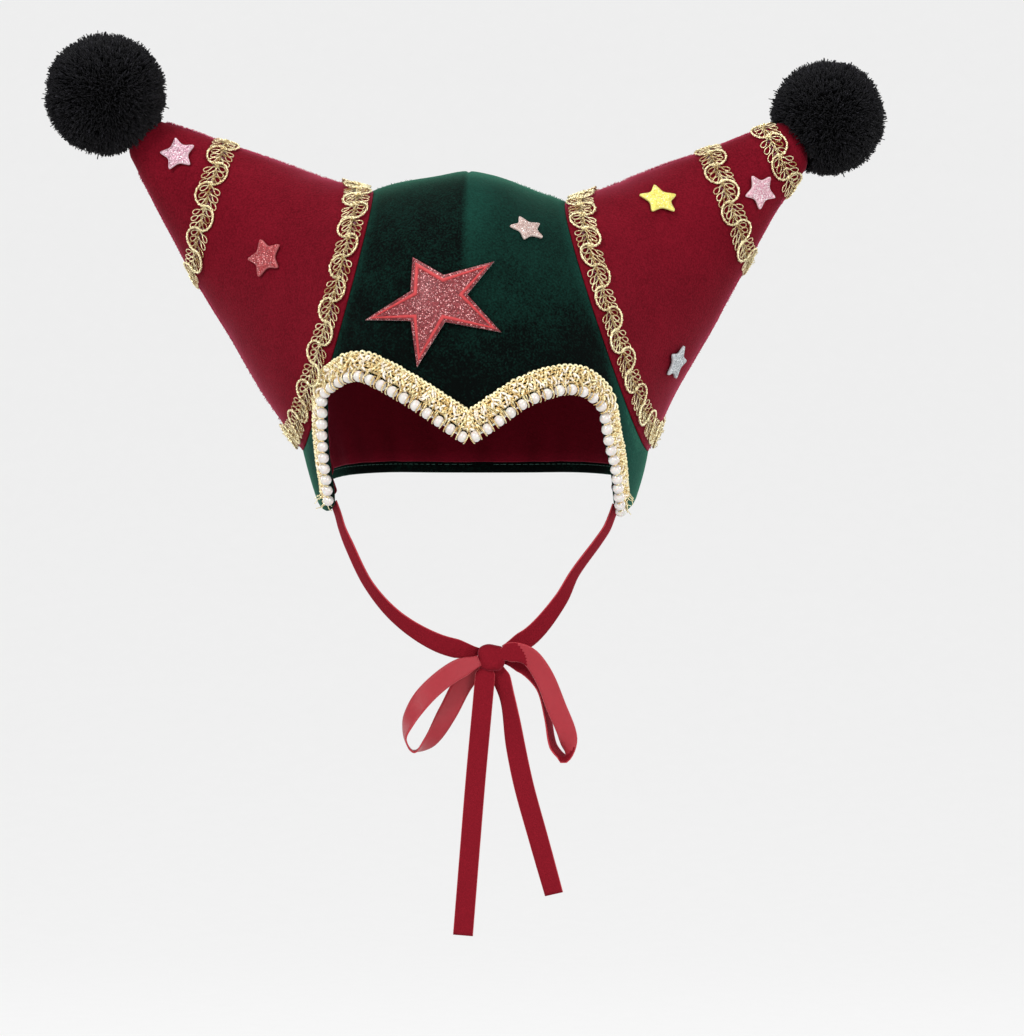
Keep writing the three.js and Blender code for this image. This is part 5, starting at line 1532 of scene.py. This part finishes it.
class TrimPath:
    """Half of the face edge by length, from the forehead point to a flap's tip."""

    def __init__(self, side):
        self.side = side
        self.stations = np.arange(0, FLAP_TIP_STATION * PATH_STEPS + 1) / PATH_STEPS
        turn, level = rim_inset(self.stations, side, -PEARL_RADIUS * PEARL_BEYOND)
        self.line = crown_point(turn, level, PEARL_RADIUS * PEARL_OUTSET)
        gaps = np.linalg.norm(np.diff(self.line, axis=0), axis=-1)
        self.runs = np.concatenate([[0], np.cumsum(gaps)])

    def pearls(self):
        """Run of each pearl's centre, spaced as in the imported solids."""
        away = self.side * (self.line[:, 0] - self.line[0, 0])
        centre = self.runs[np.argmax(away > PEARL_RADIUS + PIECE_GAP / 2)]
        found = []
        while centre + PEARL_RADIUS < self.runs[-1]:
            found.append(centre)
            station = np.interp(centre, self.runs, self.stations)
            centre += PEARL_PITCH_FRONT if station < PEARL_CORNER_STATION else PEARL_PITCH_FLAP
        return np.array(found)

    def place(self, run, inset, height):
        """A point beside the rim at a run, inset from the rim and above the velvet."""
        station = np.interp(run, self.runs, self.stations)
        turn, level = rim_inset(station, self.side, inset)
        clear = (PIECE_GAP / 2 / CROWN_HALF_WIDTH) ** (PLAN_ROUNDNESS / 2)
        turn = self.side * np.maximum(self.side * turn, clear)
        return crown_point(turn, level, height)

    def on_line(self, run):
        return np.stack([np.interp(run, self.runs, self.line[:, k]) for k in range(3)], -1)


class JESTERHAT_OT_pearls(bpy.types.Operator):
    """Add the pearls along the face edge"""

    bl_idname = "jester_hat.pearls"
    bl_label = "Pearls"

    def execute(self, context):
        material = pearl_finish("pearl_lustre", tuple(colours().pearl))
        deselect_all()
        bpy.ops.mesh.primitive_uv_sphere_add(segments=20, ring_count=14, radius=1, location=(0, 0, 0))
        ball = bpy.context.object
        bpy.ops.object.mode_set(mode="EDIT")
        bpy.ops.mesh.select_all(action="SELECT")
        bpy.ops.mesh.quads_convert_to_tris()
        bpy.ops.object.mode_set(mode="OBJECT")
        unit_places = np.array([tuple(v.co) for v in ball.data.vertices])
        unit_faces = np.array([tuple(p.vertices) for p in ball.data.polygons])
        bpy.data.objects.remove(ball)
        for side, name in ((-1, "pearls_left"), (1, "pearls_right")):
            path = TrimPath(side)
            random = np.random.default_rng(90 + side)
            runs = path.pearls()
            centres = path.on_line(runs)
            radius = sizes().pearl_radius / MM
            points, faces, waves = [], [], []
            for count, centre in enumerate(centres):
                spin = random.normal(size=(3, 3))
                turn, _ = np.linalg.qr(spin)
                size = radius * random.uniform(0.96, 1.01)
                points.append(unit_places @ turn.T * np.sign(np.linalg.det(turn)) * size + centre)
                faces.append(unit_faces + count * len(unit_places))
            points = np.concatenate(points)
            thread_runs = np.linspace(runs[0], runs[-1], len(runs) * 4)
            thread = path.on_line(thread_runs)[None]
            ups = np.broadcast_to(np.array([0.0, -1.0, 0.3]), thread.shape)
            string = strand_arrays(thread, ups, 0.4, 6)
            beads = (points, np.concatenate(faces), np.zeros((len(points), 3)), 0.0, 0)
            piece = strand_piece(name + "_string", [beads, (*string, 0.0, 0)])
            finish_piece(piece, [name], "pearl", material)
        return {"FINISHED"}


class JESTERHAT_OT_face_braid(bpy.types.Operator):
    """Add the crocheted gold braid that holds the pearls"""

    bl_idname = "jester_hat.face_braid"
    bl_label = "Gold face braid"

    def execute(self, context):
        tone = colours()
        gold = cord_finish("gold_crochet", (0.58, 0.34, 0.08), tuple(tone.cream), 0.7, 0.3, 0.7)
        cream = cord_finish("cream_cotton", (0.72, 0.6, 0.44), (0.95, 0.9, 0.8), 0.0, 0.7, 1.1)
        for side, name in ((-1, "face_braid_left"), (1, "face_braid_right")):
            path = TrimPath(side)
            random = np.random.default_rng(120 + side)
            runs = path.pearls()
            pitch = PEARL_PITCH_FRONT
            total = path.runs[-1]
            parts = []
            parts.append(self.bed(path))
            parts.append(self.edge_loops(path, total, pitch / 3, random))
            for low, high in ((5.0, 8.4), (2.6, 6.0), (0.6, 3.6)):
                parts.extend(self.puffs(path, total, pitch / 4.4, low, high, random))
            parts.append(self.zigzag(path, total, pitch / 3.0, random))
            parts.append(self.pearl_arcs(path, runs, random))
            parts.append(self.spacers(path, runs, random))
            parts.append(self.loose_threads(path, total, random))
            piece = strand_piece(name + "_crochet", parts)
            finish_piece(piece, [name], "gold_cord", gold, cream)
        return {"FINISHED"}

    def strands(self, path, runs, insets, heights, radius, sides, shade, kind=0):
        runs = np.clip(runs, 0.12, path.runs[-1] - 0.12)
        centres = path.place(runs, insets, heights)
        above = path.place(runs, insets, heights + 1.0)
        points, faces, waves = strand_arrays(centres, above - centres, radius, sides)
        return points, faces, waves, np.repeat(shade, len(points) // len(centres)), kind

    def bed(self, path):
        """Long core cords that the crochet is worked over, painted darker as shade beneath it."""
        runs = np.linspace(0.2, path.runs[-1] - 0.4, 220)[None, :]
        runs = np.repeat(runs, 5, axis=0)
        insets = np.array([1.4, 3.1, 4.8, 6.4, 7.8])[:, None] + 0 * runs
        return self.strands(path, runs, insets, np.full_like(runs, 0.75), 0.62, 5, np.full(5, 0.3))

    def edge_loops(self, path, total, pitch, random):
        """The scalloped outer edge: small pale loops."""
        centres = np.arange(pitch / 2, total - pitch / 2, pitch)
        theta = np.linspace(-0.35, math.pi + 0.35, 9)
        runs = centres[:, None] + 0.85 * np.cos(theta)[None, :]
        insets = 8.2 + 1.15 * np.sin(theta)[None, :] + random.normal(size=(len(centres), 1)) * 0.15
        heights = 0.9 + 0.35 * np.sin(theta)[None, :] + 0 * runs
        return self.strands(path, runs, insets, heights, 0.56, 6, random.uniform(0.8, 1.3, len(centres)))

    def puffs(self, path, total, pitch, low, high, random):
        """A row of fat short strands that lean both ways: some gold, some cream."""
        centres = np.arange(pitch / 2, total - pitch / 2, pitch) + random.uniform(-0.25, 0.25)
        count = len(centres)
        centres = centres + random.normal(size=count) * 0.3
        steps = np.linspace(0, 1, 6)
        lean = random.choice([-1.0, 1.0], count) * random.uniform(0.2, 1.1, count)
        reach = (high - low) * random.uniform(0.6, 1.05, (count, 1))
        runs = centres[:, None] + (steps - 0.5)[None, :] * reach * lean[:, None]
        middle = (low + high) / 2 + random.normal(size=(count, 1)) * 0.35
        insets = middle + reach * (steps - 0.5)[None, :]
        insets = insets + random.normal(size=(count, 1)) * 0.5 * np.sin(steps * math.pi)[None, :]
        heights = 0.9 + random.uniform(0.4, 1.2, (count, 1)) * np.sin(steps * math.pi)[None, :]
        radius = 0.26 + 0.3 * np.sin(np.clip(steps, 0.05, 0.95) * math.pi)[None, :]
        radius = radius * random.uniform(0.7, 1.25, (count, 1))
        cream = random.random(count) < 0.45
        shade = random.choice([0.3, 0.65, 1.0], count)
        return [self.strands(path, runs[chosen], insets[chosen], heights[chosen], radius[chosen], 5,
                             shade[chosen], kind) for chosen, kind in ((~cream, 0), (cream, 1))]

    def zigzag(self, path, total, pitch, random):
        """Thin gold cords that cross over the crochet."""
        centres = np.arange(pitch / 2, total - pitch / 2, pitch)
        steps = np.linspace(0, 1, 8)
        sign = np.where(np.arange(len(centres)) % 2 == 0, 1.0, -1.0)
        width = pitch * (0.9 + 0.3 * random.random(len(centres)))
        runs = centres[:, None] + (steps - 0.5)[None, :] * (sign * width)[:, None]
        insets = 0.8 + 7.4 * steps[None, :] + random.normal(size=(len(centres), 1)) * 0.3
        insets = insets + 0.35 * np.sin(steps * 9)[None, :]
        heights = 1.75 + 0.4 * np.sin(steps * 7)[None, :] + 0 * runs
        return self.strands(path, runs, insets, heights, 0.26, 5, random.uniform(0.1, 0.9, len(centres)))

    def pearl_arcs(self, path, runs, random):
        """Thin gold cords over the pearls: two over each front pearl, one on each side of its middle, and one
        between neighbouring pearls on the flaps.
        """
        theta = np.linspace(-0.15 * math.pi, 1.02 * math.pi, 13)
        centres, ups = [], []
        station = np.interp(runs, path.runs, path.stations)
        for run, here in zip(runs, station):
            middle = path.on_line(run)
            tangent = unit(path.on_line(run + 0.3) - path.on_line(run - 0.3))
            normal = crown_normal(middle)
            inward = unit(np.cross(normal, tangent)) * path.side
            on_flap = here > PEARL_CORNER_STATION + 0.6
            for offset in ((-1.0,) if on_flap else (-1.0, 1.0)):
                if on_flap:
                    slide, radius = PEARL_PITCH_FLAP / 2, 1.3
                else:
                    slide, radius = 1.95, 2.25
                slide = offset * (slide + random.normal() * 0.08)
                ring = []
                for angle in theta:
                    bow = 1 + 0.18 * math.sin(max(min(angle, math.pi), 0))
                    ring.append(middle + tangent * slide * bow + inward * math.cos(angle) * radius * 1.12
                                + normal * math.sin(angle) * radius)
                centres.append(ring)
                ups.append([tangent] * len(theta))
        points, faces, waves = strand_arrays(np.array(centres), np.array(ups), 0.3, 5)
        shade = np.repeat(random.uniform(0.1, 0.7, len(centres)), len(points) // len(centres))
        return points, faces, waves, shade, 0

    def spacers(self, path, runs, random):
        """Short fat loops of gold thread between the front pearls."""
        station = np.interp(runs, path.runs, path.stations)
        front = runs[station < PEARL_CORNER_STATION - 0.3]
        middle = np.repeat((front[1:] + front[:-1]) / 2, 2)
        shift = np.tile([-0.42, 0.42], len(front) - 1)
        steps = np.linspace(0, 1, 7)
        spots = (middle + shift)[:, None] + random.normal(size=(len(middle), 1)) * 0.1 + 0 * steps[None, :]
        insets = 1.8 - 3.6 * steps[None, :] + random.normal(size=(len(middle), 1)) * 0.3
        heights = 0.7 + 1.1 * np.sin(steps * math.pi)[None, :] + 0 * insets
        return self.strands(path, spots, insets, heights, 0.36, 5, random.uniform(0.2, 1.0, len(middle)))

    def loose_threads(self, path, total, random):
        """Untidy thread ends where the braid is cut at the flap's tip."""
        steps = np.linspace(0, 1, 9)
        centres = []
        foot = path.place(np.array(total - 0.6), np.array(3.0), np.array(1.0))
        outward = crown_normal(foot)
        for _ in range(16):
            start = path.place(np.array(total - random.uniform(0.2, 3.0)),
                               np.array(random.uniform(0.0, 8.0)), np.array(1.2))
            drop = np.array([random.normal() * 2.2, random.normal() * 1.8, -random.uniform(0.8, 4.0)])
            line = (start + drop * steps[:, None]
                    + outward * (1.3 * random.random() * np.sin(steps * math.pi))[:, None]
                    + random.normal(size=3) * 0.8 * np.sin(steps * 5)[:, None] * 0.6)
            centres.append(line)
        centres = np.array(centres)
        ups = np.broadcast_to(np.array([0.0, -1.0, 0.3]), centres.shape)
        points, faces, waves = strand_arrays(centres, ups, 0.2, 4)
        return points, faces, waves, 0.9, 0


def star_rings(corners, insets, centre_share=0.0):
    """Outlines inside a star's outline, each a given distance in from its edges."""
    corners = np.asarray(corners, float)
    count = len(corners)
    following = np.roll(corners, -1, axis=0)
    edge = unit(following - corners)
    inward = np.stack([-edge[:, 1], edge[:, 0]], -1)
    rings = []
    for inset in insets:
        before = np.roll(inward, 1, axis=0)
        bisector = before + inward
        share = np.maximum((bisector * inward).sum(-1), 0.35)
        rings.append(corners + bisector * (inset / share)[:, None])
    return np.array(rings).reshape(len(insets), count, 2)


def split_ring(ring, pieces):
    """More corners along each edge of an outline."""
    following = np.roll(ring, -1, axis=0)
    shares = np.arange(pieces) / pieces
    return (ring[:, None, :] * (1 - shares)[None, :, None]
            + following[:, None, :] * shares[None, :, None]).reshape(-1, 2)


def round_corners(ring):
    """Softens an outline's corners by two rounds of averaging."""
    for _ in range(2):
        ring = 0.5 * ring + 0.25 * (np.roll(ring, 1, axis=0) + np.roll(ring, -1, axis=0))
    return ring


class JESTERHAT_OT_large_star(bpy.types.Operator):
    """Add the large red star with its raised line, glitter and foam edge"""

    bl_idname = "jester_hat.large_star"
    bl_label = "Large star"

    def execute(self, context):
        outline = []
        for turn, reach in LARGE_STAR_CORNERS:
            angle = math.radians(turn)
            outline.append((LARGE_STAR_REACH * reach * math.cos(angle),
                            LARGE_STAR_REACH * reach * math.sin(angle)))
        outline = np.array(outline)
        levels = [(0.0, 1.2), (0.0, 2.0), (0.25, 2.4), (1.45, 2.5), (1.6, 2.8), (1.85, 3.1), (2.25, 3.2),
                  (2.65, 3.1), (2.9, 2.8), (3.05, 2.5)]
        rings = star_rings(outline, [inset for inset, _ in levels])
        heights = [height for _, height in levels]
        inner = rings[-1]
        layers = [split_ring(ring, 12) for ring in rings]
        for share in (0.85, 0.65, 0.45, 0.25, 0.1):
            layers.append(split_ring(inner * share, 12))
            heights.append(2.5 - 0.1 * share)
        spots = np.array(layers)
        x = spots[..., 0] + LARGE_STAR_CENTRE[0]
        z = spots[..., 1] + LARGE_STAR_CENTRE[1]
        y = crown_front(x, z) - np.array(heights)[:, None]
        grid = np.stack([x, y, z], -1)
        back = grid[0].copy()
        centre_x, centre_z = LARGE_STAR_CENTRE
        front = float(crown_front(np.array(centre_x), np.array(centre_z)))
        under = [back]
        for share in (0.6, 0.3):
            bx = centre_x + layers[0][:, 0] * share
            bz = centre_z + layers[0][:, 1] * share
            under.append(np.stack([bx, crown_front(bx, bz) - 1.2, bz], -1))
        rings3 = np.concatenate([np.array(under)[::-1][:-1], grid])
        piece = wall_piece("star_red_large_patch", rings3, (centre_x, front - 1.2, centre_z),
                           (centre_x, front - 2.5, centre_z))
        columns = grid.shape[1]
        # Red glitter, its pale painted glint colour and its darker flakes.
        glitter = glitter_finish("red_glitter", (0.27, 0.035, 0.042), (0.95, 0.5, 0.5), (0.1, 0.009, 0.012))
        raised = raised_finish("coral_raised_line", (0.4, 0.033, 0.037), (0.5, 0.05, 0.053))
        foam = foam_finish("star_foam_edge", (0.82, 0.78, 0.76))
        kinds = np.zeros(len(piece.data.polygons), np.int32)
        row_kinds = [2, 2, 2, 0, 0, 1, 1, 1, 1, 1, 1]
        for row, kind in enumerate(row_kinds):
            start = row * 2 * columns
            kinds[start:start + 2 * columns] = kind
        piece.data.polygons.foreach_set("material_index", kinds)
        finish_piece(piece, ["star_red_large"], "red_glitter", glitter, raised, foam)
        return {"FINISHED"}


# Each small star's finish slot, glitter colour, pale painted glint colour and darker flake colour.
SMALL_STARS = {
    "star_champagne": ("champagne_glitter", (0.62, 0.47, 0.42), (1.0, 0.95, 0.9), (0.28, 0.16, 0.14)),
    "star_pink_left": ("pink_glitter", (0.72, 0.48, 0.55), (1.0, 0.98, 1.0), (0.36, 0.13, 0.2)),
    "star_red_left": ("red_glitter", (0.42, 0.045, 0.05), (0.95, 0.4, 0.4), (0.2, 0.015, 0.02)),
    "star_yellow": ("yellow_glitter", (0.86, 0.79, 0.17), (1.0, 1.0, 0.75), (0.66, 0.55, 0.07)),
    "star_pink_right": ("pink_glitter", (0.74, 0.5, 0.54), (1.0, 1.0, 1.0), (0.45, 0.18, 0.25)),
    "star_silver": ("silver_glitter", (0.5, 0.53, 0.55), (1.0, 1.0, 1.0), (0.2, 0.22, 0.23)),
}


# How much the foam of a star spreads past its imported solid, across and up
STAR_SPREAD = {"star_red_left": (1.3, 1.1), "star_yellow": (1.14, 1.1), "star_champagne": (1.0, 0.96)}


class JESTERHAT_OT_small_stars(bpy.types.Operator):
    """Add the six small foam stars"""

    bl_idname = "jester_hat.small_stars"
    bl_label = "Small stars"

    def execute(self, context):
        for name, (slot, base, painted_glint, dark) in SMALL_STARS.items():
            foam = foam_finish(name + "_foam", tuple(0.75 * part + 0.06 for part in base))
            glitter = glitter_finish(name + "_glitter", base, painted_glint, dark)
            piece = self.make_star(name)
            finish_piece(piece, [name], slot, glitter, foam)
        return {"FINISHED"}

    def make_star(self, name):
        """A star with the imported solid's corners, raised toward its middle, with a foam side."""
        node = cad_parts[name]
        places = np.unique(np.round(np.array([tuple(v.co) for v in node.data.vertices]) / MM, 3), axis=0)
        middle = places.mean(axis=0)
        _, _, axes = np.linalg.svd(places - middle)
        normal = axes[2] if axes[2][1] < 0 else -axes[2]
        front = places[(places - middle) @ normal > 0]
        centre = front.mean(axis=0)
        right = unit(np.cross(np.array([0.0, 0.0, 1.0]), -normal))
        right = right if right[0] > 0 else -right
        up = np.cross(-normal, right)
        up = up if up[2] > 0 else -up
        flat = np.stack([(front - centre) @ right, (front - centre) @ up], -1)
        order = np.argsort(np.arctan2(flat[:, 1], flat[:, 0]))
        outline = flat[order] * np.array(STAR_SPREAD.get(name, (1.03, 1.02)))
        levels = [(0.0, -1.2), (0.0, -0.3), (0.22, 0.0), (0.9, 0.12), (1.15, 0.3), (1.6, 0.42), (2.0, 0.3)]
        rings = star_rings(outline, [inset for inset, _ in levels])
        heights = [height for _, height in levels]
        layers = [round_corners(split_ring(ring, 5)) for ring in rings]
        inner = rings[-1]
        for share, height in ((0.75, 0.3), (0.45, 0.34), (0.2, 0.38)):
            layers.append(round_corners(split_ring(inner * share, 5)))
            heights.append(height)
        rings3 = []
        for ring, height in zip(layers, heights):
            rings3.append(centre + ring[:, :1] * right + ring[:, 1:] * up + normal * height)
        under = [rings3[0] * 0.5 + (centre - normal * 1.2) * 0.5]
        rings3 = np.array(under + rings3)
        piece = wall_piece(name + "_foam", rings3, centre - normal * 1.2, centre + normal * 0.4)
        columns = rings3.shape[1]
        kinds = np.zeros(len(piece.data.polygons), np.int32)
        kinds[:2 * columns * 3] = 1
        piece.data.polygons.foreach_set("material_index", kinds)
        return piece


class JESTERHAT_OT_stage(bpy.types.Operator):
    """Add the pale floor with its curved backdrop, and the soft lights"""

    bl_idname = "jester_hat.stage"
    bl_label = "Stage"

    def execute(self, context):
        deselect_all()
        bpy.ops.mesh.primitive_plane_add(size=40, location=(0, -15.5, FLOOR_LEVEL))
        stage = bpy.context.object
        stage.name = "stage_floor"
        bpy.ops.object.transform_apply(location=True, rotation=True, scale=True)
        bpy.ops.object.mode_set(mode="EDIT")
        bpy.ops.mesh.select_mode(type="EDGE")
        bpy.ops.mesh.select_all(action="DESELECT")
        bpy.ops.object.mode_set(mode="OBJECT")
        for edge in stage.data.edges:
            edge.select = True
        bpy.ops.object.mode_set(mode="EDIT")
        bpy.ops.mesh.extrude_edges_move(TRANSFORM_OT_translate={"value": (0, 0, 4)})
        bpy.ops.mesh.select_all(action="DESELECT")
        bpy.ops.object.mode_set(mode="OBJECT")
        for edge in stage.data.edges:
            ends = [stage.data.vertices[index].co for index in edge.vertices]
            edge.select = all(end.z < FLOOR_LEVEL + 0.1 for end in ends)
        bpy.ops.object.mode_set(mode="EDIT")
        bpy.ops.mesh.bevel(offset=2.4, segments=20, profile=0.5)
        bpy.ops.mesh.select_all(action="SELECT")
        bpy.ops.mesh.normals_make_consistent(inside=True)
        bpy.ops.object.mode_set(mode="OBJECT")
        bpy.ops.object.shade_smooth()
        stage.data.materials.append(stage_finish())
        self.add_light("key_light", (-1.3, -2.2, 1.5), 1.2, 58)
        self.add_light("fill_light", (1.6, -2.0, 0.5), 1.5, 30)
        self.add_light("top_light", (0.1, 0.2, 1.9), 1.4, 22)
        self.add_light("left_rim_light", (-1.8, 0.9, 0.5), 1.0, 10)
        self.add_light("right_rim_light", (1.8, 0.9, 0.5), 1.0, 10)
        world = bpy.data.worlds.new("pale_room")
        context.scene.world = world
        world.use_nodes = True
        background = world.node_tree.nodes["Background"]
        background.inputs["Color"].default_value = (1.0, 1.0, 1.0, 1)
        background.inputs["Strength"].default_value = 0.36
        context.scene.view_settings.view_transform = "Standard"
        return {"FINISHED"}

    def add_light(self, name, place, size, power):
        data = bpy.data.lights.new(name, "AREA")
        data.shape = "DISK"
        data.size = size
        data.energy = power
        light = bpy.data.objects.new(name, data)
        light.location = place
        light.rotation_euler = (Vector((0, 0, -0.1)) - Vector(place)).to_track_quat("-Z", "Y").to_euler()
        bpy.context.scene.collection.objects.link(light)


PIECES = (
    ("jester_hat.camera", "CAMERA_DATA"),
    ("jester_hat.ribbons", "CURVE_DATA"),
    ("jester_hat.crown", "MESH_UVSPHERE"),
    ("jester_hat.lining", "MESH_UVSPHERE"),
    ("jester_hat.horns", "MESH_CONE"),
    ("jester_hat.gimp", "CURVE_DATA"),
    ("jester_hat.pompoms", "MESH_ICOSPHERE"),
    ("jester_hat.pearls", "MESH_ICOSPHERE"),
    ("jester_hat.face_braid", "CURVE_DATA"),
    ("jester_hat.large_star", "SOLO_ON"),
    ("jester_hat.small_stars", "SOLO_ON"),
    ("jester_hat.stage", "LIGHT_AREA"),
)


class JESTERHAT_PT_panel(bpy.types.Panel):
    """Lists the hat's pieces, sizes and colours"""

    bl_label = "Jester hat"
    bl_idname = "JESTERHAT_PT_panel"
    bl_space_type = "VIEW_3D"
    bl_region_type = "UI"
    bl_category = "Jester hat"

    def draw(self, context):
        layout = self.layout
        for group in (context.scene.jester_hat_sizes, context.scene.jester_hat_colours):
            box = layout.box()
            for name in group.bl_rna.properties.keys():
                if name not in ("rna_type", "name"):
                    box.prop(group, name)
        for operator, icon in PIECES:
            layout.operator(operator, icon=icon)


CLASSES = (
    HatColours, HatSizes, JESTERHAT_OT_camera, JESTERHAT_OT_ribbons, JESTERHAT_OT_crown,
    JESTERHAT_OT_lining, JESTERHAT_OT_horns, JESTERHAT_OT_gimp, JESTERHAT_OT_pompoms,
    JESTERHAT_OT_pearls, JESTERHAT_OT_face_braid, JESTERHAT_OT_large_star,
    JESTERHAT_OT_small_stars, JESTERHAT_OT_stage, JESTERHAT_PT_panel,
)


def register():
    for item in CLASSES:
        bpy.utils.register_class(item)
    bpy.types.Scene.jester_hat_sizes = bpy.props.PointerProperty(type=HatSizes)
    bpy.types.Scene.jester_hat_colours = bpy.props.PointerProperty(type=HatColours)


def unregister():
    del bpy.types.Scene.jester_hat_colours
    del bpy.types.Scene.jester_hat_sizes
    for item in reversed(CLASSES):
        bpy.utils.unregister_class(item)


def main():
    register()
    for operator, _ in PIECES:
        group, call = operator.split(".")
        getattr(getattr(bpy.ops, group), call)()


if __name__ == "__main__":
    main()
